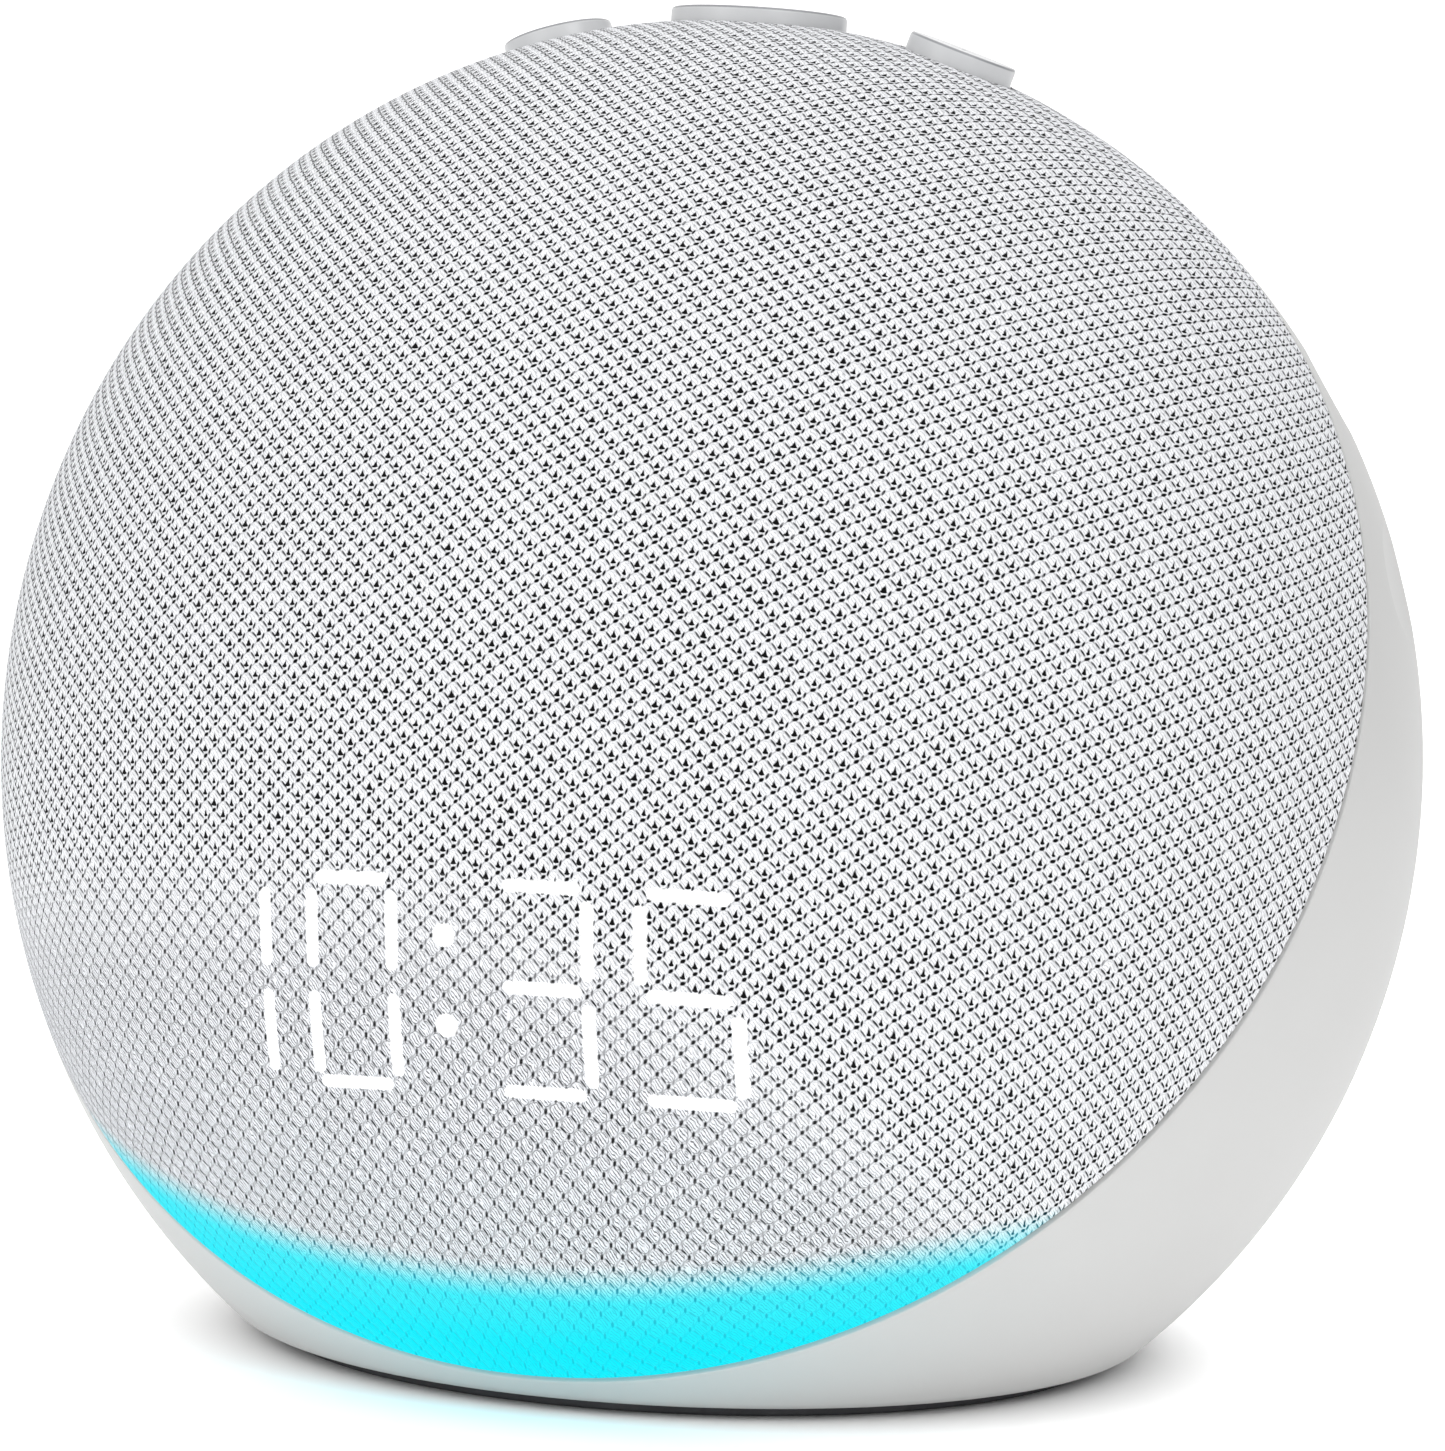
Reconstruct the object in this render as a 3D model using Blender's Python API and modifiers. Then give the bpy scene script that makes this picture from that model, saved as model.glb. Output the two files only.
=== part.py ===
"""A ball-shaped desk speaker with a clock behind its knitted front, built as separate pieces.

Metres, +Z up.  The origin is under the middle of the foot, and the front faces -Y.
"""

import math

import bmesh
import bpy
from mathutils import Matrix, Vector

mm = 0.001

# Driving dimensions of the outside
bodyRadius = 50.0 * mm            # half the width, and half the depth
bodyHalfHeight = 52.1 * mm        # from the middle of the ball to its top
baseDrop = 40.3 * mm              # from the middle of the ball down to the flat base
baseCornerRadius = 3.0 * mm
footProud = 0.8 * mm              # the foot stands this far out of the base
seamTilt = math.radians(30.0)     # the seam's plane leans back by this much
seamOffset = 9.8 * mm             # from the middle of the ball to the seam's plane
seamGap = 0.4 * mm

# Walls
fabricThickness = 0.7 * mm
grilleInset = 1.0 * mm
grilleThickness = 1.8 * mm
shellThickness = 2.2 * mm
fit = 0.4 * mm                    # room left between pieces that meet

# Buttons
buttonBack = 3.5 * mm             # the row of buttons lies this far behind the top
sideButtonX = 14.9 * mm
wideButtonRadius = 6.2 * mm
sideButtonRadius = 3.9 * mm
wideButtonProud = 0.7 * mm
sideButtonProud = 1.1 * mm
buttonTravel = 0.5 * mm

# Clock window
digitCentres = (-16.0 * mm, -6.6 * mm, 6.6 * mm, 16.0 * mm)
digitMiddle = -10.5 * mm          # height of the digits' middle, from the middle of the ball
digitWindow = (7.0 * mm, 15.4 * mm)
maskSize = (42.0 * mm, 17.6 * mm)

# Speaker
speakerForward = 9.0 * mm         # the flange's back face, along the seam's normal
speakerUp = 6.0 * mm              # the driver's axis, up from the middle of the baffle

# Inlet
inletDrop = -24.0 * mm

roundSteps = 36                   # facets round the outer pieces
innerSteps = 24                   # round the speaker and other inner pieces
smallSteps = 20
screwSteps = 10

centreHeight = baseDrop + footProud
frontNormal = Vector((0.0, -math.cos(seamTilt), math.sin(seamTilt)))
frontTurn = (math.pi / 2 - seamTilt, 0.0, 0.0)     # turns +Z to the seam's normal


# Scene and collections

for leftover in list(bpy.data.objects):
    bpy.data.objects.remove(leftover, do_unlink=True)

partCollection = bpy.data.collections.new("smart_speaker_with_clock")
cutterCollection = bpy.data.collections.new("cutters")
bpy.context.scene.collection.children.link(partCollection)
bpy.context.scene.collection.children.link(cutterCollection)


def makeMaterial(name, colour, roughness, metallic=0.0):
    material = bpy.data.materials.new(name)
    material.use_nodes = True
    shader = material.node_tree.nodes["Principled BSDF"]
    shader.inputs["Base Color"].default_value = (*colour, 1.0)
    shader.inputs["Roughness"].default_value = roughness
    shader.inputs["Metallic"].default_value = metallic
    material.diffuse_color = (*colour, 1.0)
    return material


whiteKnit = makeMaterial("white_knit", (0.86, 0.86, 0.87), 0.9)
greyShell = makeMaterial("grey_shell", (0.62, 0.63, 0.65), 0.45)
paleButton = makeMaterial("pale_button", (0.68, 0.69, 0.70), 0.35)
darkPlastic = makeMaterial("dark_plastic", (0.04, 0.04, 0.045), 0.55)
whitePlastic = makeMaterial("white_plastic", (0.78, 0.78, 0.78), 0.5)
darkRubber = makeMaterial("dark_rubber", (0.05, 0.05, 0.055), 0.8)
diffuser = makeMaterial("diffuser", (0.8, 0.9, 0.92), 0.4)
boardLacquer = makeMaterial("board_lacquer", (0.02, 0.14, 0.07), 0.4)
flexFilm = makeMaterial("flex_film", (0.45, 0.22, 0.04), 0.4)
ledBody = makeMaterial("led_body", (0.9, 0.9, 0.8), 0.4)
platedSteel = makeMaterial("plated_steel", (0.55, 0.55, 0.56), 0.3, 1.0)
aluminium = makeMaterial("aluminium", (0.75, 0.76, 0.77), 0.35, 1.0)
ferrite = makeMaterial("ferrite", (0.06, 0.06, 0.065), 0.6)
paperCone = makeMaterial("paper_cone", (0.07, 0.07, 0.07), 0.85)
copperCoil = makeMaterial("copper_coil", (0.6, 0.28, 0.14), 0.35, 1.0)
cableJacket = makeMaterial("cable_jacket", (0.05, 0.05, 0.05), 0.6)


# Building helpers

def addObject(name, data, parent=None, location=(0, 0, 0), rotation=(0, 0, 0), material=None):
    item = bpy.data.objects.new(name, data)
    partCollection.objects.link(item)
    item.parent = parent
    item.location = location
    item.rotation_euler = rotation
    if material is not None:
        data.materials.append(material)
    return item


def addEmpty(name, parent=None, location=(0, 0, 0), rotation=(0, 0, 0)):
    return addObject(name, None, parent, location, rotation)


def asCutter(item):
    partCollection.objects.unlink(item)
    cutterCollection.objects.link(item)
    item.hide_render = True
    item.display_type = "WIRE"
    return item


def boolean(item, cutter, operation="DIFFERENCE"):
    modifier = item.modifiers.new(cutter.name, "BOOLEAN")
    modifier.operation = operation
    modifier.solver = "EXACT"
    modifier.object = cutter


def finishMesh(bm, name):
    mesh = bpy.data.meshes.new(name)
    bm.to_mesh(mesh)
    bm.free()
    return mesh


def turned(name, profile, parent, material, location=(0, 0, 0), rotation=(0, 0, 0),
           steps=roundSteps, ring=False):
    """Turn a profile of (radius, height) points, listed down its outer side, about Z."""
    bm = bmesh.new()
    corners = [bm.verts.new((radius, 0.0, height)) for radius, height in profile]
    for upper, lower in zip(corners, corners[1:]):
        bm.edges.new((upper, lower))
    if ring:
        bm.edges.new((corners[-1], corners[0]))
    mesh = finishMesh(bm, name)
    item = addObject(name, mesh, parent, location, rotation, material)
    screw = item.modifiers.new("turn", "SCREW")
    screw.axis = "Z"
    screw.steps = steps
    screw.render_steps = steps
    screw.use_merge_vertices = True
    screw.merge_threshold = 0.00001
    screw.use_smooth_shade = False
    return item


def cylinder(name, radius, bottom, top, parent, material=None, location=(0, 0, 0),
             rotation=(0, 0, 0), steps=smallSteps):
    profile = ((0.0, top), (radius, top), (radius, bottom), (0.0, bottom))
    return turned(name, profile, parent, material, location, rotation, steps)


def tube(name, inner, outer, bottom, top, parent, material, location=(0, 0, 0),
         rotation=(0, 0, 0), steps=roundSteps):
    profile = ((outer, top), (outer, bottom), (inner, bottom), (inner, top))
    return turned(name, profile, parent, material, location, rotation, steps, ring=True)


def block(name, size, parent, material=None, location=(0, 0, 0), rotation=(0, 0, 0), edge=0.0):
    bm = bmesh.new()
    bmesh.ops.create_cube(bm, size=1.0, matrix=Matrix.Diagonal((*size, 1.0)))
    item = addObject(name, finishMesh(bm, name), parent, location, rotation, material)
    if edge > 0.0:
        bevel = item.modifiers.new("edges", "BEVEL")
        bevel.width = edge
        bevel.segments = 2
    return item


def ballSurface(bm, inset, segments, rings):
    """A ball of the body's shape, this far inside its surface, with its poles on the seam's normal."""
    bmesh.ops.create_uvsphere(bm, u_segments=segments, v_segments=rings, radius=1.0)
    turn = Matrix.Rotation(frontTurn[0], 4, "X")
    wide = bodyRadius - inset
    tall = bodyHalfHeight - inset
    stretch = Matrix.Diagonal((wide, wide, tall, 1.0))
    bmesh.ops.transform(bm, matrix=stretch @ turn, verts=bm.verts)


def trim(bm, point, normal):
    """Cut away what lies on the normal's side of a plane."""
    bmesh.ops.bisect_plane(bm, geom=bm.verts[:] + bm.edges[:] + bm.faces[:], dist=1e-7,
                           plane_co=point, plane_no=normal, clear_outer=True)


def curvedSheet(name, inset, thickness, trims, parent, material, segments=36, rings=24):
    """A sheet that follows the ball, trimmed by planes, and thickened inward."""
    bm = bmesh.new()
    ballSurface(bm, inset, segments, rings)
    for point, normal in trims:
        trim(bm, point, normal)
    item = addObject(name, finishMesh(bm, name), parent, material=material)
    solidify = item.modifiers.new("wall", "SOLIDIFY")
    solidify.thickness = thickness
    solidify.offset = -1.0
    return item


def wire(name, points, radius, parent, material):
    curve = bpy.data.curves.new(name, "CURVE")
    curve.dimensions = "3D"
    curve.bevel_depth = radius
    curve.bevel_resolution = 2
    curve.use_fill_caps = True
    spline = curve.splines.new("POLY")
    spline.points.add(len(points) - 1)
    for target, point in zip(spline.points, points):
        target.co = (*point, 1.0)
    return addObject(name, curve, parent, material=material)


def smoothRoute(corners, perSpan=4):
    """Points along a smooth curve through the corners of a route."""
    padded = [corners[0], *corners, corners[-1]]
    route = []
    for index in range(len(corners) - 1):
        before, start, end, after = (Vector(point) for point in padded[index:index + 4])
        for step in range(perSpan):
            t = step / perSpan
            route.append(0.5 * (2 * start + (end - before) * t
                                + (2 * before - 5 * start + 4 * end - after) * t ** 2
                                + (3 * start - before - 3 * end + after) * t ** 3))
    route.append(Vector(corners[-1]))
    return [point * mm for point in route]


centre = addEmpty("ball_centre", location=(0, 0, centreHeight))


# Buttons: each has an empty on its axis, on the ball's surface, with +Z pointing out

def surfacePoint(x, y):
    height = bodyHalfHeight * math.sqrt(1.0 - (x * x + y * y) / bodyRadius ** 2)
    return Vector((x, y, height))


def surfaceNormal(point):
    wide = bodyRadius ** 2
    return Vector((point.x / wide, point.y / wide, point.z / bodyHalfHeight ** 2)).normalized()


buttonTable = (
    ("volume_down", -sideButtonX, sideButtonRadius, sideButtonProud),
    ("action", 0.0, wideButtonRadius, wideButtonProud),
    ("volume_up", sideButtonX, sideButtonRadius, sideButtonProud),
)

capDepth = 3.8 * mm               # top of the cap's flange, below the fabric's surface
flangeThickness = 1.0 * mm
flangeReach = 0.9 * mm
stemEnd = -6.1 * mm
switchTop = -7.4 * mm
switchBottom = -10.6 * mm
switchWidth = 6.0 * mm
plungerRadius = 1.5 * mm
plungerBottom = -8.6 * mm

buttonHoles = []


def buildButton(label, x, radius, proud):
    point = surfacePoint(x, buttonBack)
    turn = surfaceNormal(point).to_track_quat("Z", "Y").to_euler()
    axis = addEmpty(label + "_axis", centre, point, turn)
    corner = 0.35 * mm
    flange = radius + flangeReach
    profile = (
        (0.0, proud), (radius - corner, proud), (radius - 0.1 * mm, proud - 0.1 * mm),
        (radius, proud - corner), (radius, -capDepth), (flange, -capDepth),
        (flange, -capDepth - flangeThickness), (1.6 * mm, -capDepth - flangeThickness),
        (1.6 * mm, stemEnd), (0.0, stemEnd),
    )
    turned(label + "_button", profile, axis, paleButton, steps=smallSteps)
    cylinder(label + "_plunger", plungerRadius, plungerBottom, stemEnd - 0.3 * mm, axis,
             platedSteel, steps=screwSteps)
    size = (switchWidth, switchWidth, switchTop - switchBottom)
    middle = (0, 0, (switchTop + switchBottom) / 2)
    switch = block(label + "_switch", size, axis, darkPlastic, middle)
    pocketFloor = plungerBottom - buttonTravel - fit
    boolean(switch, asCutter(cylinder(label + "_pocket", plungerRadius + fit, pocketFloor,
                                      switchTop + mm, axis, steps=screwSteps)))
    hole = cylinder(label + "_hole", radius + fit, -6.0 * mm, 4.0 * mm, axis, steps=smallSteps)
    buttonHoles.append(asCutter(hole))


for entry in buttonTable:
    buildButton(*entry)


# Outer cover: knitted fabric over a pierced frame

def frontTrim(offset):
    """Keeps what lies in front of a plane parallel to the seam."""
    return (frontNormal * offset, -frontNormal)


def backTrim(offset):
    return (frontNormal * offset, frontNormal)


seamFront = seamOffset + seamGap / 2
seamBack = seamOffset - seamGap / 2

fabricCover = curvedSheet("fabric_cover", 0.0, fabricThickness, [frontTrim(seamFront)],
                          centre, whiteKnit)
grilleFrame = curvedSheet("grille_frame", grilleInset, grilleThickness,
                          [frontTrim(seamFront)], centre, darkPlastic)
for hole in buttonHoles:
    boolean(fabricCover, hole)
    boolean(grilleFrame, hole)

clockOpening = block("clock_opening", (maskSize[0] + 1.0 * mm, 30 * mm, maskSize[1] + 1.0 * mm),
                     centre, location=(0, -45 * mm, digitMiddle))
boolean(grilleFrame, asCutter(clockOpening))


def soundHole(index, aside, up, radius):
    """A round hole through the frame, square to the baffle."""
    upward = Vector((0.0, math.sin(seamTilt), math.cos(seamTilt)))
    place = Vector((aside, 0, 0)) + upward * up
    hole = cylinder(f"sound_hole_{index}", radius, 10 * mm, 60 * mm, centre,
                    location=place, rotation=frontTurn, steps=6)
    boolean(grilleFrame, asCutter(hole))


soundRings = ((0.0, 1), (8.5 * mm, 5), (17.0 * mm, 10))
soundIndex = 0
for ringRadius, count in soundRings:
    for step in range(count):
        angle = 2 * math.pi * step / count
        soundHole(soundIndex, ringRadius * math.cos(angle),
                  speakerUp + 5.0 * mm + ringRadius * math.sin(angle), 2.6 * mm)
        soundIndex += 1


# Rear shell: one turned wall with a lip under it, cut off at the seam

def ballArc(inset, startAngle, endAngle, count):
    """Points of (radius, height) down the ball's side, from one angle to another."""
    wide = bodyRadius - inset
    tall = bodyHalfHeight - inset
    points = []
    for step in range(count + 1):
        angle = startAngle + (endAngle - startAngle) * step / count
        points.append((wide * math.cos(angle), tall * math.sin(angle)))
    return points


cornerHeight = -baseDrop + baseCornerRadius
cornerAngle = math.asin(cornerHeight / (bodyHalfHeight - baseCornerRadius))
cornerMiddle = (bodyRadius - baseCornerRadius) * math.cos(cornerAngle)
lipTop = -baseDrop + 3.2 * mm
lipUnder = -baseDrop + 1.2 * mm
lipRadius = 26.0 * mm
recessRadius = cornerMiddle - 0.5 * mm
topAngle = math.radians(75)
innerEnd = math.asin(lipTop / (bodyHalfHeight - shellThickness))

shellProfile = ballArc(0.0, topAngle, 0.0, 8)
shellProfile += ballArc(0.0, 0.0, cornerAngle, 5)[1:-1]
cornerSteps = 3
for step in range(cornerSteps + 1):
    turn = cornerAngle + (-math.pi / 2 - cornerAngle) * step / cornerSteps
    shellProfile.append((cornerMiddle + baseCornerRadius * math.cos(turn),
                         cornerHeight + baseCornerRadius * math.sin(turn)))
shellProfile += [(recessRadius, -baseDrop), (recessRadius, lipUnder), (lipRadius, lipUnder),
                 (lipRadius, lipTop)]
shellProfile += ballArc(shellThickness, innerEnd, topAngle, 10)
rearShell = turned("rear_shell", shellProfile, centre, greyShell, steps=roundSteps, ring=True)

frontCutter = block("front_cutter", (140 * mm, 140 * mm, 120 * mm), centre,
                    location=frontNormal * (seamBack + 60 * mm), rotation=frontTurn)
boolean(rearShell, asCutter(frontCutter))

backTurn = (-math.pi / 2, 0.0, 0.0)            # turns +Z to +Y
inletPlace = (0.0, 0.0, inletDrop)
bezelRadius = 6.8 * mm
inletHole = cylinder("inlet_hole", bezelRadius + 0.3 * mm, 30 * mm, 60 * mm, centre,
                     location=inletPlace, rotation=backTurn, steps=innerSteps)
boolean(rearShell, asCutter(inletHole))

# Ring that joins the frame to the shell from inside
hoopInset = 3.4 * mm
seamHoop = curvedSheet("seam_hoop", hoopInset, 1.4 * mm,
                       [frontTrim(5 * mm), backTrim(14 * mm), ((0, 0, -27 * mm), Vector((0, 0, -1)))],
                       centre, whitePlastic, segments=36, rings=30)

# Base
flangeRadius = 27.8 * mm
plateTop = lipTop + 1.8 * mm
baseProfile = (
    (0.0, plateTop), (flangeRadius, plateTop), (flangeRadius, lipTop + fit),
    (lipRadius - fit, lipTop + fit), (lipRadius - fit, lipUnder), (0.0, lipUnder),
)
basePlate = turned("base_plate", baseProfile, centre, whitePlastic)
footRadius = recessRadius - 0.5 * mm
footProfile = (
    (0.0, lipUnder - 0.3 * mm), (footRadius, lipUnder - 0.3 * mm),
    (footRadius, -centreHeight + 0.4 * mm), (footRadius - 0.4 * mm, -centreHeight),
    (0.0, -centreHeight),
)
turned("rubber_foot", footProfile, centre, darkRubber)

# Tray that the base plate's screws go into
trayBottom = plateTop + fit
trayTop = trayBottom + 3.4 * mm
trayRadius = 19.0 * mm
tray = cylinder("chassis_tray", trayRadius, trayBottom, trayTop, centre, darkPlastic,
                steps=roundSteps)
baseScrewCircle = 14.0 * mm
for index in range(3):
    angle = math.radians(90 + 120 * index)
    spot = (baseScrewCircle * math.cos(angle), baseScrewCircle * math.sin(angle), 0.0)
    headTop = lipUnder + 1.5 * mm
    shankTop = trayTop - 0.6 * mm
    holeProfile = (
        (0.0, trayTop + mm), (1.35 * mm, trayTop + mm), (1.35 * mm, headTop + fit),
        (2.8 * mm, headTop + fit), (2.8 * mm, lipUnder - mm), (0.0, lipUnder - mm),
    )
    hole = asCutter(turned(f"base_screw_hole_{index}", holeProfile, centre, None, spot,
                           steps=screwSteps))
    boolean(basePlate, hole)
    boolean(tray, hole)
    screwProfile = (
        (0.0, shankTop), (1.0 * mm, shankTop), (1.0 * mm, headTop), (2.4 * mm, headTop),
        (2.4 * mm, lipUnder + 0.2 * mm), (0.0, lipUnder + 0.2 * mm),
    )
    turned(f"base_screw_{index + 1}", screwProfile, centre, platedSteel, spot, steps=screwSteps)

# Light ring and its board
tube("light_ring", 28.4 * mm, 30.4 * mm, lipTop + 0.5 * mm, lipTop + 3.6 * mm, centre, diffuser)
ledBoardBottom = plateTop + 1.6 * mm
tube("ring_led_board", 20.0 * mm, 27.8 * mm, ledBoardBottom, ledBoardBottom + 1.0 * mm, centre,
     boardLacquer)
for index in range(4):
    angle = math.radians(-90 + 60 * (index - 1.5))
    spot = (26.0 * mm * math.cos(angle), 26.0 * mm * math.sin(angle),
            ledBoardBottom - 0.3 * mm - 0.4 * mm)
    block(f"ring_led_{index + 1}", (2.4 * mm, 2.4 * mm, 0.8 * mm), centre, ledBody, spot,
          (0, 0, angle))


# Carrier of the switches, under the buttons
stripTrims = [
    ((18.5 * mm, 0, 0), Vector((1, 0, 0))), ((-18.5 * mm, 0, 0), Vector((-1, 0, 0))),
    ((0, -5 * mm, 0), Vector((0, -1, 0))), ((0, 11 * mm, 0), Vector((0, 1, 0))),
    ((0, 0, 0), Vector((0, 0, -1))),
]
curvedSheet("button_flex_board", 11.0 * mm, 0.6 * mm, stripTrims, centre, flexFilm, 48, 36)
curvedSheet("button_bracket", 12.0 * mm, 1.8 * mm, stripTrims, centre, whitePlastic, 48, 36)
for label, x in (("left", -7.6 * mm), ("right", 7.6 * mm)):
    point = surfacePoint(x, buttonBack)
    normal = surfaceNormal(point)
    place = point - normal * 9.9 * mm
    block("microphone_" + label, (2.6 * mm, 3.6 * mm, 1.0 * mm), centre, platedSteel, place,
          normal.to_track_quat("Z", "Y").to_euler())


# Clock: a mask with a cell for each digit, a board and its light sources
maskBack = -35.6 * mm
maskSolid = block("clock_mask", (maskSize[0], 20 * mm, maskSize[1]), centre, darkPlastic,
                  (0, maskBack - 10 * mm, digitMiddle))
ballBm = bmesh.new()
ballSurface(ballBm, 1.4 * mm, 48, 36)
ballLimit = asCutter(addObject("mask_limit", finishMesh(ballBm, "mask_limit"), centre))
boolean(maskSolid, ballLimit, "INTERSECT")
for index, x in enumerate(digitCentres):
    cell = block(f"digit_cell_{index}", (digitWindow[0], 30 * mm, digitWindow[1]), centre,
                 location=(x, -42 * mm, digitMiddle))
    boolean(maskSolid, asCutter(cell))
    block(f"clock_led_{index + 1}", (5.8 * mm, 1.6 * mm, 13.0 * mm), centre, ledBody,
          (x, maskBack - 0.9 * mm, digitMiddle))
colonCell = block("colon_cell", (2.2 * mm, 30 * mm, 9.0 * mm), centre,
                  location=(0, -42 * mm, digitMiddle))
boolean(maskSolid, asCutter(colonCell))
block("clock_board", (43 * mm, 1.2 * mm, 17 * mm), centre, boardLacquer,
      (0, maskBack + fit + 0.6 * mm, digitMiddle))


# Speaker: everything hangs from an empty on the cone's axis, +Z forward
upward = Vector((0.0, math.sin(seamTilt), math.cos(seamTilt)))
driver = addEmpty("speaker_axis", centre, frontNormal * speakerForward + upward * speakerUp,
                  frontTurn)

flangeOuter = 24.0 * mm
basket = turned("speaker_frame", (
    (flangeOuter, 1.8 * mm), (flangeOuter, 0.0), (19.6 * mm, 0.0), (13.0 * mm, -12.0 * mm),
    (13.0 * mm, -13.2 * mm), (8.4 * mm, -13.2 * mm), (8.4 * mm, -12.0 * mm),
    (11.6 * mm, -12.0 * mm), (18.2 * mm, 0.0), (18.2 * mm, 1.8 * mm),
), driver, platedSteel, steps=innerSteps, ring=True)
for index in range(4):
    angle = math.radians(45 + 90 * index)
    window = block(f"basket_window_{index}", (12 * mm, 12 * mm, 6.0 * mm), driver,
                   location=(17 * mm * math.cos(angle), 17 * mm * math.sin(angle), -6.5 * mm),
                   rotation=(0, 0, angle))
    boolean(basket, asCutter(window))

turned("speaker_surround", (
    (19.4 * mm, 2.7 * mm), (19.4 * mm, 2.1 * mm), (17.9 * mm, 2.1 * mm), (17.0 * mm, 2.6 * mm),
    (16.2 * mm, 1.0 * mm), (16.2 * mm, 1.6 * mm), (16.6 * mm, 3.0 * mm), (17.3 * mm, 3.3 * mm),
    (18.1 * mm, 2.7 * mm),
), driver, darkRubber, steps=innerSteps, ring=True)
turned("speaker_cone", (
    (15.3 * mm, 1.6 * mm), (15.7 * mm, 0.8 * mm), (7.6 * mm, -5.2 * mm), (6.4 * mm, -5.2 * mm),
    (6.4 * mm, -4.4 * mm),
), driver, paperCone, steps=innerSteps, ring=True)
turned("dust_cap", (
    (0.0, -0.6 * mm), (3.5 * mm, -1.2 * mm), (6.0 * mm, -2.6 * mm), (7.0 * mm, -3.5 * mm),
    (6.3 * mm, -3.7 * mm), (3.2 * mm, -2.0 * mm), (0.0, -1.4 * mm),
), driver, paperCone, steps=innerSteps)
tube("voice_coil", 6.4 * mm, 7.2 * mm, -18.0 * mm, -5.6 * mm, driver, copperCoil,
     steps=innerSteps)
turned("spider", (
    (12.0 * mm, -10.0 * mm), (12.0 * mm, -10.6 * mm), (11.0 * mm, -10.9 * mm),
    (9.8 * mm, -10.3 * mm), (8.6 * mm, -10.9 * mm), (7.7 * mm, -10.6 * mm),
    (7.7 * mm, -10.0 * mm), (8.6 * mm, -10.3 * mm), (9.8 * mm, -9.7 * mm), (11.0 * mm, -10.3 * mm),
), driver, flexFilm, steps=innerSteps, ring=True)
tube("top_plate", 7.7 * mm, 14.0 * mm, -16.0 * mm, -13.6 * mm, driver, platedSteel,
     steps=innerSteps)
tube("magnet", 9.0 * mm, 15.0 * mm, -22.0 * mm, -16.4 * mm, driver, ferrite, steps=innerSteps)
turned("pole_piece", (
    (0.0, -13.6 * mm), (5.9 * mm, -13.6 * mm), (5.9 * mm, -22.4 * mm), (14.4 * mm, -22.4 * mm),
    (14.4 * mm, -24.6 * mm), (0.0, -24.6 * mm),
), driver, platedSteel, steps=innerSteps)

# Baffle, with a flat cut at its foot and a notch for the switch carrier
baffleRadius = 42.5 * mm
baffleBack = 6.5 * mm
baffle = cylinder("speaker_baffle", baffleRadius, baffleBack, speakerForward - 0.3 * mm, centre,
                  darkPlastic, rotation=frontTurn, steps=roundSteps)
throat = cylinder("baffle_throat", 20.2 * mm, -4 * mm, 3 * mm, driver, steps=innerSteps)
boolean(baffle, asCutter(throat))
footCut = block("baffle_foot_cut", (100 * mm, 30 * mm, 30 * mm), centre,
                location=frontNormal * baffleBack - upward * 45 * mm, rotation=frontTurn)
boolean(baffle, asCutter(footCut))
topNotch = block("baffle_top_notch", (46 * mm, 34 * mm, 30 * mm), centre,
                 location=frontNormal * baffleBack + upward * 46 * mm, rotation=frontTurn)
boolean(baffle, asCutter(topNotch))
for index in range(3):
    angle = math.radians(90 + 120 * index)
    spot = (21.8 * mm * math.cos(angle), 21.8 * mm * math.sin(angle), 0.0)
    hole = asCutter(cylinder(f"speaker_screw_hole_{index}", 1.4 * mm, -6 * mm, 4 * mm, driver,
                             location=spot, steps=screwSteps))
    boolean(basket, hole)
    boolean(baffle, hole)
    turned(f"speaker_screw_{index + 1}", (
        (0.0, 3.3 * mm), (1.9 * mm, 3.3 * mm), (1.9 * mm, 2.1 * mm), (1.0 * mm, 2.1 * mm),
        (1.0 * mm, -4.0 * mm), (0.0, -4.0 * mm),
    ), driver, platedSteel, spot, steps=screwSteps)


# Main board, its shield and heat spreader, and the power inlet
boardFace = 27.0 * mm
boardThickness = 1.6 * mm
mainBoard = block("main_board", (44 * mm, boardThickness, 46 * mm), centre, boardLacquer,
                  (0, boardFace + boardThickness / 2, -6 * mm))
block("board_shield", (24 * mm, 2.6 * mm, 18 * mm), centre, platedSteel,
      (-6 * mm, boardFace - 0.3 * mm - 1.3 * mm, -14 * mm), edge=0.3 * mm)
heatSpreader = block("heat_spreader", (36 * mm, 1.5 * mm, 26 * mm), centre, aluminium,
                     (0, boardFace + boardThickness + 0.6 * mm + 0.75 * mm, 2 * mm))
cylinder("reservoir_capacitor", 3.1 * mm, 0.3 * mm, 8.0 * mm, centre, aluminium,
         (13 * mm, boardFace, -20 * mm), (math.pi / 2, 0, 0), smallSteps)
for index, x in enumerate((-14 * mm, 14 * mm)):
    place = (x, boardFace, 11 * mm)
    hole = asCutter(cylinder(f"board_screw_hole_{index}", 1.4 * mm, -3 * mm, 6 * mm, centre,
                             location=place, rotation=backTurn, steps=screwSteps))
    boolean(mainBoard, hole)
    boolean(heatSpreader, hole)
    turned(f"board_screw_{index + 1}", (
        (0.0, 5.4 * mm), (2.0 * mm, 5.4 * mm), (2.0 * mm, 4.1 * mm), (1.0 * mm, 4.1 * mm),
        (1.0 * mm, -1.0 * mm), (0.0, -1.0 * mm),
    ), centre, platedSteel, place, backTurn, screwSteps)

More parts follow.
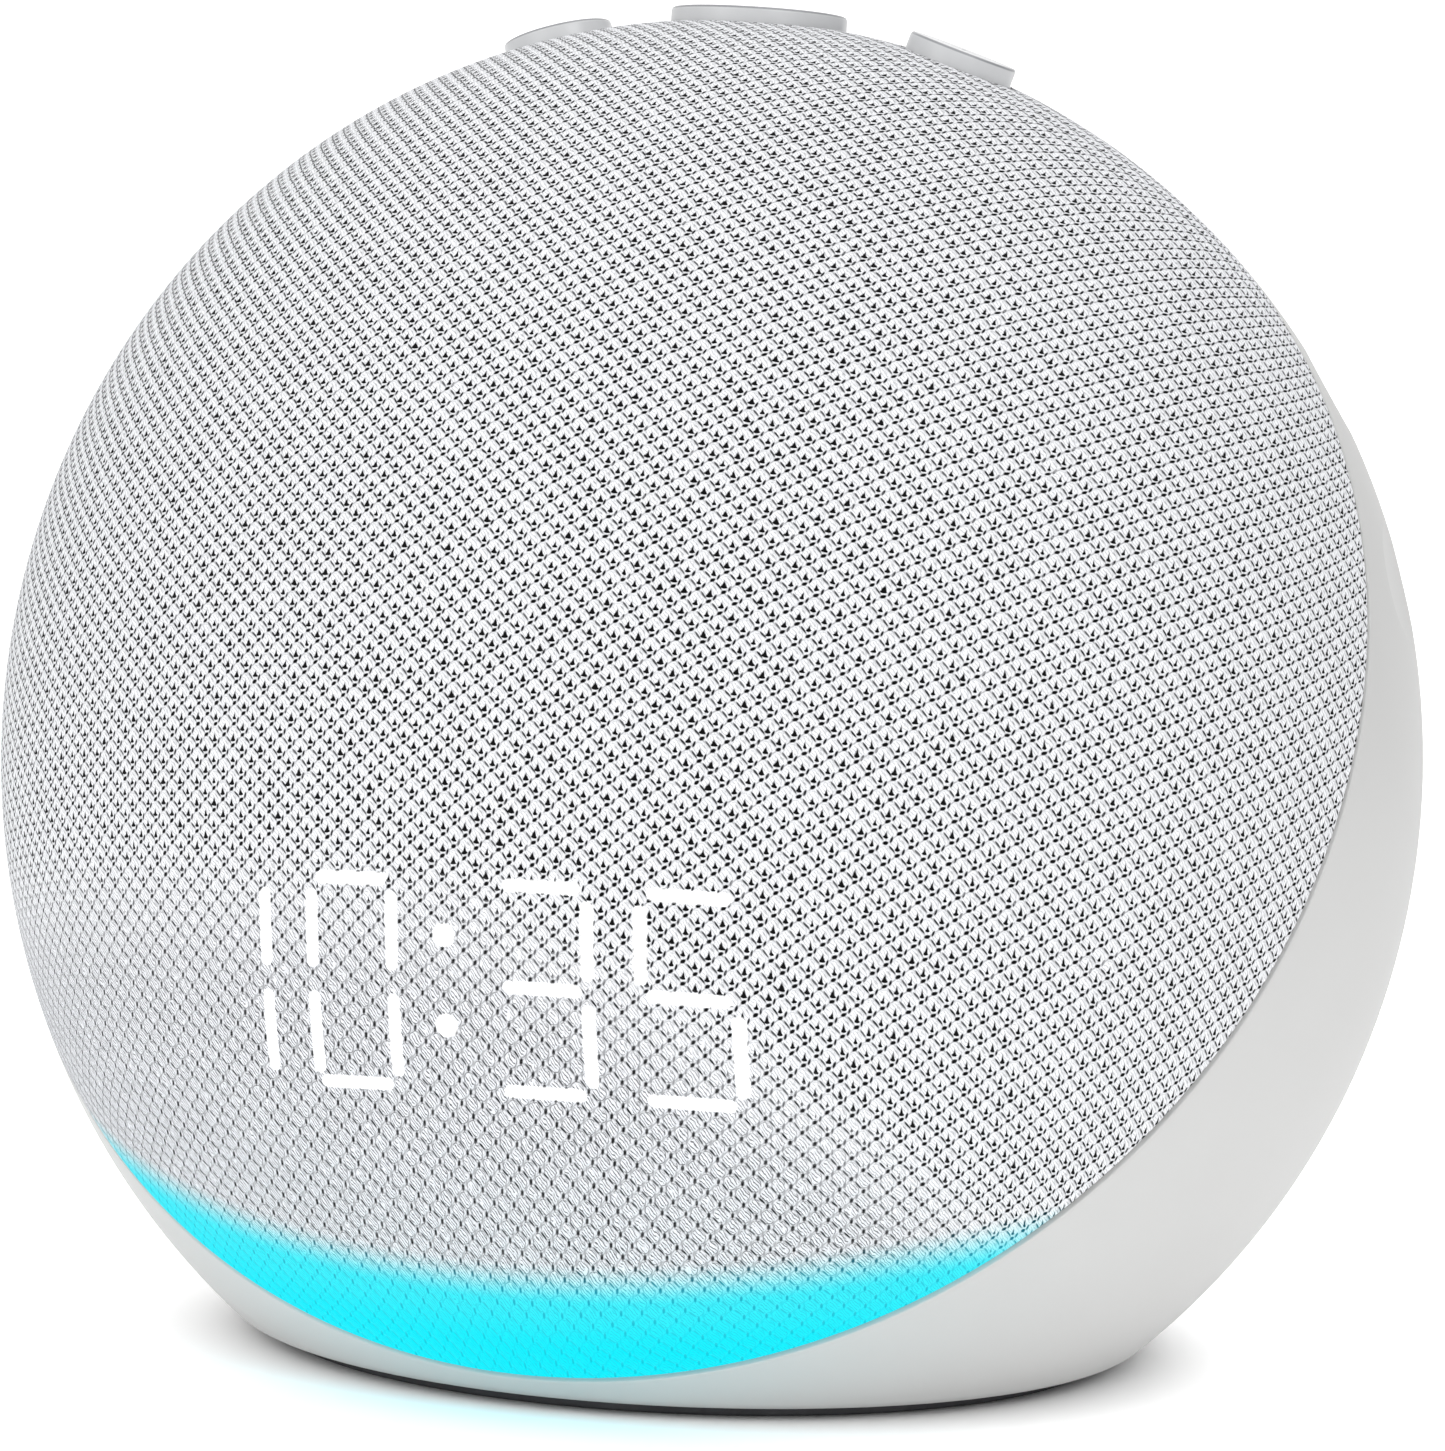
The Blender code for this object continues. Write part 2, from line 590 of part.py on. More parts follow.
jackFace = 40.0 * mm
jackBack = boardFace + boardThickness + fit
jackFloor = jackBack + 2.0 * mm
jackRadius = 3.9 * mm
jackBore = 2.8 * mm
turned("power_jack", (
    (0.0, jackFloor), (jackBore, jackFloor), (jackBore, jackFace), (jackRadius, jackFace),
    (jackRadius, jackBack), (0.0, jackBack),
), centre, darkPlastic, inletPlace, backTurn, smallSteps)
cylinder("jack_pin", 0.9 * mm, jackFloor + 0.3 * mm, jackFace - 1.5 * mm, centre, platedSteel,
         inletPlace, backTurn, screwSteps)

bezelBack = 36.0 * mm
bezelFloor = 37.5 * mm
bezelInner = bezelRadius - 1.2 * mm
bezel = turned("jack_bezel", (
    (bezelRadius, 52 * mm), (bezelRadius, bezelBack), (jackRadius + fit, bezelBack),
    (jackRadius + fit, bezelFloor), (bezelInner, bezelFloor), (bezelInner, 52 * mm),
), centre, darkPlastic, inletPlace, backTurn, innerSteps, ring=True)
bezelBm = bmesh.new()
ballSurface(bezelBm, 0.3 * mm, 48, 36)
boolean(bezel, asCutter(addObject("bezel_limit", finishMesh(bezelBm, "bezel_limit"), centre)),
        "INTERSECT")


# Cables held inside: corners of each route in millimetres from the ball's middle
wire("clock_cable", smoothRoute([
    (0, -32.8, -16.5), (0, -30.5, -24.0), (0, -20.0, -29.0), (0, 4.0, -29.3), (0, 18.0, -28.6),
    (0, 25.8, -26.2),
]), 0.9 * mm, centre, cableJacket)
wire("speaker_cable", smoothRoute([
    (16.4, 4.0, 5.0), (19.0, 12.0, 2.5), (18.5, 21.0, -3.0), (16.0, 25.9, -9.0),
]), 0.8 * mm, centre, cableJacket)
wire("button_cable", smoothRoute([
    (6.0, 12.9, 38.4), (6.0, 18.0, 33.5), (6.0, 23.5, 24.0), (6.0, 25.7, 13.0),
]), 0.8 * mm, centre, cableJacket)
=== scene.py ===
import math

import bmesh
import bpy
import numpy as np
from mathutils import Matrix, Vector


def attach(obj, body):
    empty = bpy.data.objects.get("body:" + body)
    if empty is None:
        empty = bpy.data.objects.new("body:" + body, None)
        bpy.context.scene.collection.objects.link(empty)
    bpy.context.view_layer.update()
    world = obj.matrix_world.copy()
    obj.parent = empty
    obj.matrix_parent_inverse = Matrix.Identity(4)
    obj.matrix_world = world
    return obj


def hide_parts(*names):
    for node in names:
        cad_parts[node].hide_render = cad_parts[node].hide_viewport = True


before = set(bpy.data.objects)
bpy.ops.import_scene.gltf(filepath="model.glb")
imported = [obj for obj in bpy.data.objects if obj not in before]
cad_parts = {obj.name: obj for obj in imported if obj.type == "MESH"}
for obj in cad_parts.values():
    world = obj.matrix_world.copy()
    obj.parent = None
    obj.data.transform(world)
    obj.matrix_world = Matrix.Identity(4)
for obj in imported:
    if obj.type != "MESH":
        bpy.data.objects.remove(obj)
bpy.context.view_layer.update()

mm = 0.001
body = {
    "radius": 50.0,          # half the width and depth of the ball, in mm as all of these are
    "halfHeight": 52.1,      # from the ball's middle to its top
    "centreHeight": 41.1,    # of the ball's middle above the floor
    "baseDrop": 40.3,        # from the ball's middle down to the flat base
    "cornerRadius": 3.0,
    "seamTilt": math.radians(30.0),
    "seamFront": 10.0,       # where the knitted cover ends, along the seam's normal
    "seamBack": 9.6,         # where the shell ends
}
forward = Vector((0.0, -math.cos(body["seamTilt"]), math.sin(body["seamTilt"])))
upward = Vector((0.0, math.sin(body["seamTilt"]), math.cos(body["seamTilt"])))
middle = Vector((0.0, 0.0, body["centreHeight"]))


# Node helpers

# Scene colour of a hex code
def linear(code):
    channels = [int(code[start:start + 2], 16) / 255 for start in (1, 3, 5)]
    return [c / 12.92 if c <= 0.04045 else ((c + 0.055) / 1.055) ** 2.4 for c in channels] + [1.0]


def give(tree, socket, value):
    if isinstance(value, Signal):
        value = value.socket
    if isinstance(value, bpy.types.NodeSocket):
        tree.links.new(value, socket)
    else:
        socket.default_value = value


# Adds a node with its settings, and links or sets its inputs
def node(tree, kind, links=None, **settings):
    made = tree.nodes.new("ShaderNode" + kind)
    for key, value in settings.items():
        setattr(made, key, value)
    for key, value in (links or {}).items():
        give(tree, made.inputs[key], value)
    return made


# A number in a node tree, so that a pattern can be written as plain arithmetic
class Signal:
    def __init__(self, tree, socket):
        self.tree = tree
        self.socket = socket

    def math(self, operation, *others):
        made = node(self.tree, "Math", dict(enumerate((self, *others))), operation=operation)
        return Signal(self.tree, made.outputs[0])

    def __add__(self, other):
        return self.math("ADD", other)

    def __sub__(self, other):
        return self.math("SUBTRACT", other)

    def __mul__(self, other):
        return self.math("MULTIPLY", other)

    def __truediv__(self, other):
        return self.math("DIVIDE", other)

    def __rsub__(self, other):
        return self.math("MULTIPLY_ADD", -1.0, other)

    def __abs__(self):
        return self.math("ABSOLUTE")

    __radd__ = __add__
    __rmul__ = __mul__

    def power(self, other):
        return self.math("POWER", other)

    def sine(self):
        return self.math("SINE")

    def least(self, other):
        return self.math("MINIMUM", other)

    def most(self, other):
        return self.math("MAXIMUM", other)

    def part(self):
        return self.math("FRACT")

    # 0 at start and 1 at end, smooth between them
    def ramp(self, start, end):
        made = node(self.tree, "MapRange", {"Value": self, "From Min": start, "From Max": end},
                    interpolation_type="SMOOTHSTEP")
        return Signal(self.tree, made.outputs["Result"])


def blendValue(share, low, high):
    return low + (high - low) * share


def mixColour(tree, share, low, high):
    made = node(tree, "Mix", {"Factor": share, 6: low, 7: high}, data_type="RGBA")
    return made.outputs[2]


# An empty material with its Principled shader, its constants set on the shader itself
def startMaterial(name, **sockets):
    material = bpy.data.materials.new(name)
    material.use_nodes = True
    tree = material.node_tree
    shader = tree.nodes["Principled BSDF"]
    for key, value in sockets.items():
        shader.inputs[key.replace("_", " ")].default_value = value
    return material, tree, shader


# Object coordinates in millimetres
def objectPlace(tree):
    place = node(tree, "TexCoord").outputs["Object"]
    return node(tree, "VectorMath", {0: place, "Scale": 1 / mm}, operation="SCALE").outputs[0]


def alongAxes(tree, vector):
    parts = node(tree, "SeparateXYZ", {0: vector})
    return [Signal(tree, parts.outputs[axis]) for axis in range(3)]


# Noise of so many bumps a millimetre
def noise(tree, vector, scale, detail=2.0, roughness=0.5):
    made = node(tree, "TexNoise", {"Vector": vector, "Scale": scale, "Detail": detail,
                                   "Roughness": roughness})
    return Signal(tree, made.outputs["Fac"])


# Relief of so many millimetres
def bump(tree, shader, height, depth, strength=1.0):
    made = node(tree, "Bump", {"Height": height, "Distance": depth * mm, "Strength": strength})
    tree.links.new(made.outputs["Normal"], shader.inputs["Normal"])
    return made


# Materials

# Injection-moulded plastic: a fine spark-eroded grain that breaks up the gloss
def moulded(name, colour, roughness, grain, depth, wear=0.04, **sockets):
    material, tree, shader = startMaterial(name, **sockets)
    vector = objectPlace(tree)
    fine = noise(tree, vector, 1.0 / grain, 3.0)
    broad = noise(tree, vector, 0.06, 2.0)
    light = mixColour(tree, broad.ramp(0.3, 0.7), linear(colour),
                      [c * (1 - wear) for c in linear(colour)[:3]] + [1.0])
    tree.links.new(light, shader.inputs["Base Color"])
    rough = blendValue(fine, roughness - 0.05, roughness + 0.05)
    tree.links.new(rough.socket, shader.inputs["Roughness"])
    bump(tree, shader, fine, depth)
    return material


# Metal drawn or turned one way: fine lines along the stretch
def metal(name, colour, roughness, stretch, depth, scratch=1.0):
    material, tree, shader = startMaterial(name, Metallic=1.0)
    vector = objectPlace(tree)
    mapped = node(tree, "Mapping", {"Vector": vector, "Scale": stretch}).outputs[0]
    lines = noise(tree, mapped, scratch, 4.0, 0.6)
    cloud = noise(tree, vector, 0.25, 2.0)
    shade = mixColour(tree, cloud, linear(colour), [c * 0.8 for c in linear(colour)[:3]] + [1.0])
    tree.links.new(shade, shader.inputs["Base Color"])
    rough = blendValue(lines, roughness - 0.07, roughness + 0.1)
    tree.links.new(rough.socket, shader.inputs["Roughness"])
    bump(tree, shader, lines, depth)
    return material


# Moulded silicone rubber: dull, with a dusty bloom on its high spots
def rubber(name, colour):
    material, tree, shader = startMaterial(name, IOR=1.43)
    vector = objectPlace(tree)
    fine = noise(tree, vector, 5.0, 4.0)
    broad = noise(tree, vector, 0.15, 3.0)
    shade = mixColour(tree, broad.ramp(0.45, 0.75), linear(colour), linear("#5c5c5f"))
    tree.links.new(shade, shader.inputs["Base Color"])
    tree.links.new(blendValue(fine, 0.7, 0.9).socket, shader.inputs["Roughness"])
    bump(tree, shader, fine, 0.02)
    return material


# Lacquered fibreglass: copper tracks on a 1.27 mm grid show as a lighter tint and a low step
def circuitBoard(name, across, along, lacquer, track):
    material, tree, shader = startMaterial(name, IOR=1.5)
    vector = objectPlace(tree)
    place = alongAxes(tree, vector)
    u = place[across] / 1.27
    v = place[along] / 1.27
    cell = node(tree, "CombineXYZ", {"X": u.math("FLOOR"), "Y": v.math("FLOOR")}).outputs[0]
    pick = node(tree, "TexWhiteNoise", {"Vector": cell}, noise_dimensions="3D")
    choice = Signal(tree, pick.outputs["Value"])
    alongTrack = abs(u.part() - 0.5).ramp(0.17, 0.13) * choice.ramp(0.35, 0.4)
    acrossTrack = abs(v.part() - 0.5).ramp(0.17, 0.13) * choice.ramp(0.6, 0.55)
    tracks = alongTrack.most(acrossTrack)
    fromPad = ((u.part() - 0.5).power(2.0) + (v.part() - 0.5).power(2.0)).math("SQRT")
    pad = fromPad.ramp(0.3, 0.26) * choice.ramp(0.8, 0.84)
    weave = ((place[across] * 12.0).sine() * (place[along] * 12.0).sine()) * 0.5 + 0.5
    ground = mixColour(tree, weave * 0.3, linear(lacquer), linear(track))
    tinted = mixColour(tree, tracks, ground, linear(track))
    plated = mixColour(tree, pad, tinted, linear("#d6c38a"))
    tree.links.new(plated, shader.inputs["Base Color"])
    tree.links.new(pad.socket, shader.inputs["Metallic"])
    tree.links.new(blendValue(weave, 0.28, 0.36).socket, shader.inputs["Roughness"])
    bump(tree, shader, tracks + pad, 0.035)
    return material


# Pressed paper pulp: short fibres lying every way in a dark dyed sheet
def paperPulp(name):
    material, tree, shader = startMaterial(name, Roughness=0.85)
    vector = objectPlace(tree)
    bent = noise(tree, vector, 0.8, 2.0)
    fibre = node(tree, "TexNoise", {"Vector": vector, "Scale": 3.0, "Detail": 5.0,
                                    "Distortion": 2.5})
    fibres = Signal(tree, fibre.outputs["Fac"])
    shade = mixColour(tree, fibres.ramp(0.45, 0.7), linear("#1b1b1c"), linear("#3a3a3b"))
    tree.links.new(shade, shader.inputs["Base Color"])
    bump(tree, shader, fibres + bent * 0.3, 0.03)
    return material


# Enamelled copper wire, 0.2 mm from turn to turn along the coil's axis
def windings(name, axis):
    material, tree, shader = startMaterial(name, Metallic=1.0, Roughness=0.25)
    vector = objectPlace(tree)
    place = alongAxes(tree, vector)
    along = place[0] * axis[0] + place[1] * axis[1] + place[2] * axis[2]
    turn = abs((along / 0.2).part() - 0.5) * 2.0
    crown = (1.0 - turn * turn)
    # Darker in the groove between neighbouring turns: painted shade
    shade = mixColour(tree, crown, linear("#5a2410"), linear("#c77a45"))
    tree.links.new(shade, shader.inputs["Base Color"])
    bump(tree, shader, crown, 0.06)
    return material


# Sintered ferrite: grey-black and matt, with tiny pits from the grinding wheel
def ferriteStone(name):
    material, tree, shader = startMaterial(name, Roughness=0.6)
    vector = objectPlace(tree)
    pit = node(tree, "TexVoronoi", {"Vector": vector, "Scale": 2.2})
    pits = Signal(tree, pit.outputs["Distance"])
    # The pits are painted darker: painted shade
    shade = mixColour(tree, pits.ramp(0.05, 0.35), linear("#232326"), linear("#3b3b3f"))
    tree.links.new(shade, shader.inputs["Base Color"])
    bump(tree, shader, pits.ramp(0.0, 0.25), 0.03)
    return material


# Extruded PVC cable jacket: soft gloss, with faint lengthwise drag marks
def sleeve(name, colour):
    material, tree, shader = startMaterial(name, IOR=1.53)
    vector = objectPlace(tree)
    drag = noise(tree, vector, 2.0, 3.0)
    shade = mixColour(tree, drag, linear(colour), linear("#2c2c2e"))
    tree.links.new(shade, shader.inputs["Base Color"])
    tree.links.new(blendValue(drag, 0.4, 0.55).socket, shader.inputs["Roughness"])
    bump(tree, shader, drag, 0.01)
    return material


# Light source in a white package: yellow gel in the middle of a pale rim
def phosphor(name):
    material, tree, shader = startMaterial(name, Roughness=0.3, IOR=1.5)
    vector = objectPlace(tree)
    grains = noise(tree, vector, 4.0, 3.0)
    shade = mixColour(tree, grains.ramp(0.4, 0.6), linear("#efe9c8"), linear("#e6d990"))
    tree.links.new(shade, shader.inputs["Base Color"])
    bump(tree, shader, grains, 0.01)
    return material


# Two-bed warp knit in white polyester: plump diamond stitches, with a spade-shaped eyelet in each,
# a dot where four meet, and slanting yarn lines.  Eyelets and dots are painted near-black: the dark
# frame behind and painted shade seen through them.  The slanting lines and the grooves are painted
# shade between the strands.  The clock and the light bar shine through it
def knittedMesh(name):
    knit = {
        "column": 0.79,      # mm from one column of stitches to the next
        "row": 1.35,         # mm from one stitch to the next in its column
        "yarn": "#f1f2f5",
        "shade": "#a9aab0",
        # near-black: the dark frame behind, with painted shade, seen through the openings
        "eyelet": "#020203",
        "line": "#1e1f23",     # painted shade in the gaps between strands and stitches
        "closed": "#eaebef",   # over the pale lower parts
    }
    material, tree, shader = startMaterial(name, Roughness=0.95, Sheen_Weight=0.03,
                                           Sheen_Roughness=0.5, Specular_IOR_Level=0.15)
    vector = objectPlace(tree)
    place = alongAxes(tree, vector)
    stitchMap = node(tree, "UVMap", uv_map="knit").outputs["UV"]
    parts = node(tree, "SeparateXYZ", {0: stitchMap})
    sway = noise(tree, stitchMap, 0.9, 1.0) - 0.5
    moved = node(tree, "Mapping", {"Vector": stitchMap, "Location": (7.3, 2.1, 0)}).outputs[0]
    swayUp = noise(tree, moved, 0.8, 1.0) - 0.5
    u = Signal(tree, parts.outputs[0]) + sway * 0.22
    v = Signal(tree, parts.outputs[1]) + swayUp * 0.14

    # Place within the nearest of two interleaved sets of stitches, in columns and in rows
    def stitchCell(u, v):
        acrossA = ((u * 0.5 + 0.5).part() - 0.5) * 2.0
        alongA = (v + 0.5).part() - 0.5
        acrossB = ((u * 0.5).part() - 0.5) * 2.0
        alongB = v.part() - 0.5
        nearA = (abs(acrossA) + abs(alongA) * 2.0).math("LESS_THAN", 1.0)
        return blendValue(nearA, acrossB, acrossA), blendValue(nearA, alongB, alongA)

    # A random number for each stitch, found from the middle of its cell
    def chance(x, y, seed):
        cell = node(tree, "CombineXYZ", {"X": (u - x + seed).math("ROUND"),
                                         "Y": ((v - y) * 2.0).math("ROUND")}).outputs[0]
        pick = node(tree, "TexWhiteNoise", {"Vector": cell}, noise_dimensions="3D")
        return Signal(tree, pick.outputs["Value"])

    # A slanting oval mark, in mm, 1 inside it and 0 outside
    def mark(x, y, centre, lean, length, width, soft=0.04):
        c, s = math.cos(math.radians(lean)), math.sin(math.radians(lean))
        dx, dy = x - centre[0], y - centre[1]
        along = (dx * c + dy * s) / length
        across = (dy * c - dx * s) / width
        far = (along * along + across * across).math("SQRT")
        return far.ramp(1.0 + soft / width, max(0.0, 1.0 - soft / width))

    x, y = stitchCell(u, v)
    edge = abs(x) + abs(y) * 2.0
    fate, luck = chance(x, y, 0.0), chance(x, y, 40.0)
    xs, ys = x * knit["column"], y * knit["row"]
    tipX, tipY = stitchCell(u, v + 0.5)
    tipX, tipY = tipX * knit["column"], tipY * knit["row"]

    # Pale parts lie behind the lower cover, so its eyelets show grey and then close up
    fade = (v + u.most(0.0) * 0.14 + u.most(0.0).power(2.0) * 0.003).ramp(-28.0, -20.0)
    ragged = noise(tree, stitchMap, 1.9, 2.0)
    spadeX = xs + (luck - 0.5) * 0.08 + (ragged - 0.5) * 0.25
    spadeY = ys + 0.19 + (fate - 0.5) * 0.06
    slim = u.ramp(18.0, 45.0) * 0.06       # the eyelets narrow where the cover turns away
    halfWidth = 0.17 + (fate - 0.5) * 0.05 - slim
    halfWidth = halfWidth - (spadeY + 0.14) * (0.42 - slim * 3.0) - (1.0 - fade) * 0.3
    spade = (abs(spadeX) - halfWidth).ramp(0.04, -0.04) * spadeY.ramp(-0.16, -0.08)
    belly = (spadeX / (halfWidth + 0.03).most(0.01)).power(2.0) + ((spadeY + 0.1) / 0.1).power(2.0)
    spade = spade.most(belly.ramp(1.3, 0.7) * fade)
    openDot = mark(tipX, tipY, (0.0, 0.02), 30.0, 0.18, 0.11, 0.03)
    closedDot = mark(tipX, tipY, (0.0, 0.0), 78.0, 0.2, 0.1, 0.04) * blendValue(luck, 0.85, 1.0)
    dot = blendValue(fade, closedDot, openDot)
    # Painted shade: the dark ovals and slanting strokes are the gaps between the yarn loops
    oval = mark(xs, ys, (0.34, -0.39), 72.0, 0.21, 0.08, 0.03)
    oval = oval.most(mark(xs, ys, (-0.45, 0.285), 72.0, 0.21, 0.08, 0.03))
    oval = oval * blendValue(fade, 0.5, 1.0) * (1.0 - ragged.ramp(0.55, 0.75) * 0.4)
    stroke = mark(xs, ys, (-0.36, -0.3), -46.0, 0.29, 0.07, 0.025) * blendValue(luck, 0.85, 1.0)
    faint = mark(xs, ys, (0.25, 0.2), -46.0, 0.17, 0.045, 0.03) * blendValue(fate, 0.2, 0.6)
    faint = faint.most(mark(xs, ys, (0.06, 0.02), -48.0, 0.14, 0.04, 0.03) * luck * 0.4)

    # Painted shade along the strands that run across each stitch and curl round it, and in the grooves
    # at the stitches' edges
    fromMiddle = (xs * xs + ys * ys).math("SQRT") + (ragged - 0.5) * 0.3
    strand = xs * 0.74 + ys * 0.67 + (ragged - 0.5) * 0.35
    curlShade = abs((strand / 0.19).part() - 0.5).ramp(0.2, 0.08) * ragged.ramp(0.28, 0.42)
    curlShade = curlShade * edge.ramp(0.85, 0.6) * 0.85
    curlShade = curlShade.most(abs(fromMiddle - 0.42).ramp(0.05, 0.0) * ragged.ramp(0.6, 0.44) * 0.8)
    curlShade = curlShade * blendValue(fade, 1.0, 0.4)
    grooveShade = edge.ramp(0.86, 1.0) * 0.4 * ragged.ramp(0.3, 0.55) + edge.ramp(0.5, 1.0) * 0.1
    gapShade = oval.most(stroke).most(faint).most(grooveShade).most(curlShade)
    # Eyelets and dots, painted near-black: the dark frame and painted shade seen through them
    holes = spade.most(dot)
    fibre = noise(tree, node(tree, "Mapping", {"Vector": stitchMap, "Rotation": (0, 0, 0.7),
                                               "Scale": (9.0, 2.2, 1.0)}).outputs[0], 1.0, 2.0)

    closed = mixColour(tree, fade, linear(knit["closed"]), linear(knit["yarn"]))
    yarn = mixColour(tree, fibre.ramp(0.4, 0.75) * 0.3, closed, linear(knit["shade"]))
    yarn = mixColour(tree, gapShade, yarn, linear(knit["line"]))
    cloth = mixColour(tree, holes, yarn, linear(knit["eyelet"]))

    # Clock strokes, in mm from the ball's middle, seen straight from the front
    clock = {
        "rights": (-13.15, -3.6, 9.6, 18.85),
        "digits": ("1", "0", "3", "5"),
        "width": 5.9,
        "heights": (-3.6, -10.3, -17.3),
        "gap": 1.0,
        "stroke": 0.4,
        "colon": {"x": 0.1, "heights": (-7.1, -13.1), "radius": 0.74},
    }
    lit = {"0": "abcdef", "1": "bc", "3": "abcdg", "5": "acdfg"}
    bow = (place[0] - 8.0).power(2.0) * 0.0022 - 0.15      # their rows bow on the curved cover
    flat = node(tree, "CombineXYZ", {"X": place[0],
                                     "Y": place[2] - body["centreHeight"] + bow}).outputs[0]

    # Distance in mm from a straight stroke
    def capsule(start, end):
        centre = [(a + b) / 2 for a, b in zip(start, end)]
        half = [abs(b - a) / 2 for a, b in zip(start, end)]
        off = node(tree, "VectorMath", {0: flat, 1: (*centre, 0)}, operation="SUBTRACT").outputs[0]
        folded = node(tree, "VectorMath", {0: off}, operation="ABSOLUTE").outputs[0]
        past = node(tree, "VectorMath", {0: folded, 1: (*half, 0)}, operation="SUBTRACT").outputs[0]
        beyond = node(tree, "VectorMath", {0: past, 1: (0, 0, 0)}, operation="MAXIMUM").outputs[0]
        return Signal(tree, node(tree, "VectorMath", {0: beyond}, operation="LENGTH").outputs["Value"])

    top, centreBar, bottom = clock["heights"]
    gap = clock["gap"]
    nearest = None
    for right, digit in zip(clock["rights"], clock["digits"]):
        left = right - clock["width"]
        bar = gap * 0.8
        segments = {
            "a": ((left + bar, top), (right - bar, top)),
            "g": ((left + bar, centreBar), (right - bar, centreBar)),
            "d": ((left + bar * 0.6, bottom), (right - bar * 1.1, bottom)),
            "b": ((right, top - gap * 1.2), (right, centreBar + gap * 1.15)),
            "f": ((left, top - gap * 1.2), (left, centreBar + gap * 1.15)),
            "c": ((right, centreBar - gap * 1.3), (right, bottom + gap)),
            "e": ((left, centreBar - gap * 1.3), (left, bottom + gap)),
        }
        for letter in lit[digit]:
            far = capsule(*segments[letter])
            nearest = far if nearest is None else nearest.least(far)
    stroked = nearest.ramp(clock["stroke"] + 0.12, clock["stroke"] - 0.1)
    colon = clock["colon"]
    for height in colon["heights"]:
        spot = capsule((colon["x"], height), (colon["x"], height))
        stroked = stroked.most(spot.ramp(colon["radius"] + 0.12, colon["radius"] - 0.1))
    stroked = stroked * place[1].ramp(0.0, -5.0)

    # Light bar: a crescent between the seam and an arc that rises to both sides
    lightBar = {"middle": -30.3, "rise": 0.0039, "near": "#48f4ff", "deep": "#00f0ff",
                "dimmed": "#0093b4", "unlit": "#001014"}
    height = place[2] - body["centreHeight"]
    arc = place[0] * place[0] * lightBar["rise"] + lightBar["middle"]
    below = (height - arc) * -1.0
    glow = below.ramp(-1.1, 2.2) * place[1].ramp(0.0, -5.0)
    deep = below.ramp(0.0, 6.0)

    shine = mixColour(tree, deep, linear(lightBar["near"]), linear(lightBar["deep"]))
    through = (holes * 0.9).most(gapShade * 0.6) * (1.0 - deep * 0.5)
    dimmed = mixColour(tree, through, shine, linear(lightBar["dimmed"]))
    lamp = mixColour(tree, stroked.ramp(0.0, 0.1), dimmed, linear("#ffffff"))
    power = (glow * 1.02).most(stroked * 1.25)
    tree.links.new(lamp, shader.inputs["Emission Color"])
    tree.links.new(power.socket, shader.inputs["Emission Strength"])
    unlit = mixColour(tree, glow, cloth, linear(lightBar["unlit"]))
    tree.links.new(unlit, shader.inputs["Base Color"])

    plump = (1.0 - edge.power(2.5)) * 0.8
    relief = plump - holes * 0.9 - gapShade * 0.5 + fibre * 0.12
    bump(tree, shader, relief, 0.14, 0.8)
    return material


# Mesh helpers

# Links a finished mesh as a visual piece that rides on its body
def piece(name, mesh, material, bodyName, nodes=(), smooth=None):
    item = bpy.data.objects.new(name, mesh)
    bpy.context.scene.collection.objects.link(item)
    mesh.materials.clear()
    mesh.materials.append(material)
    mesh.shade_smooth()
    if smooth is not None:
        mesh.set_sharp_from_angle(angle=math.radians(smooth))
    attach(item, bodyName)
    if nodes:
        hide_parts(*nodes)
    return item


# Rounds the corners of a (radius, height) outline.  A corner may carry its own radius
def rounded(corners, radius, steps=4):
    points = []
    count = len(corners)
    for index, corner in enumerate(corners):
        here = Vector(corner[:2])
        size = corner[2] if len(corner) > 2 else radius
        before = Vector(corners[index - 1][:2]) - here
        after = Vector(corners[(index + 1) % count][:2]) - here
        ends = index in (0, count - 1) and here.x < 1e-6
        if ends or size <= 0.0 or before.length < 1e-6 or after.length < 1e-6:
            points.append(tuple(here))
            continue
        half = before.angle(after) / 2
        reach = min(size / math.tan(half), before.length * 0.45, after.length * 0.45)
        start, end = here + before.normalized() * reach, here + after.normalized() * reach
        for step in range(steps + 1):
            t = step / steps
            points.append(tuple(start.lerp(here, t).lerp(here.lerp(end, t), t)))
    return points


# Turns a (radius, height) outline in mm, listed down its outer side, about local Z
def lathe(outline, steps, matrix, closed=False):
    bm = bmesh.new()
    rings = []
    for radius, height in outline:
        if radius < 1e-6:
            rings.append([bm.verts.new((0.0, 0.0, height))])
        else:
            rings.append([bm.verts.new((radius * math.cos(2 * math.pi * k / steps),
                                        radius * math.sin(2 * math.pi * k / steps), height))
                          for k in range(steps)])
    pairs = list(zip(rings, rings[1:])) + ([(rings[-1], rings[0])] if closed else [])
    for upper, lower in pairs:
        for k in range(steps):
            corners = [upper[k % len(upper)], lower[k % len(lower)],
                       lower[(k + 1) % len(lower)], upper[(k + 1) % len(upper)]]
            unique = list(dict.fromkeys(corners))
            if len(unique) > 2:
                bm.faces.new(unique)
    bmesh.ops.transform(bm, matrix=matrix, verts=bm.verts)
    bmesh.ops.recalc_face_normals(bm, faces=bm.faces)
    return bm


# Writes the mesh in metres
def meshFrom(bm, name):
    bmesh.ops.scale(bm, vec=(mm, mm, mm), verts=bm.verts)
    mesh = bpy.data.meshes.new(name)
    bm.to_mesh(mesh)
    bm.free()
    return mesh


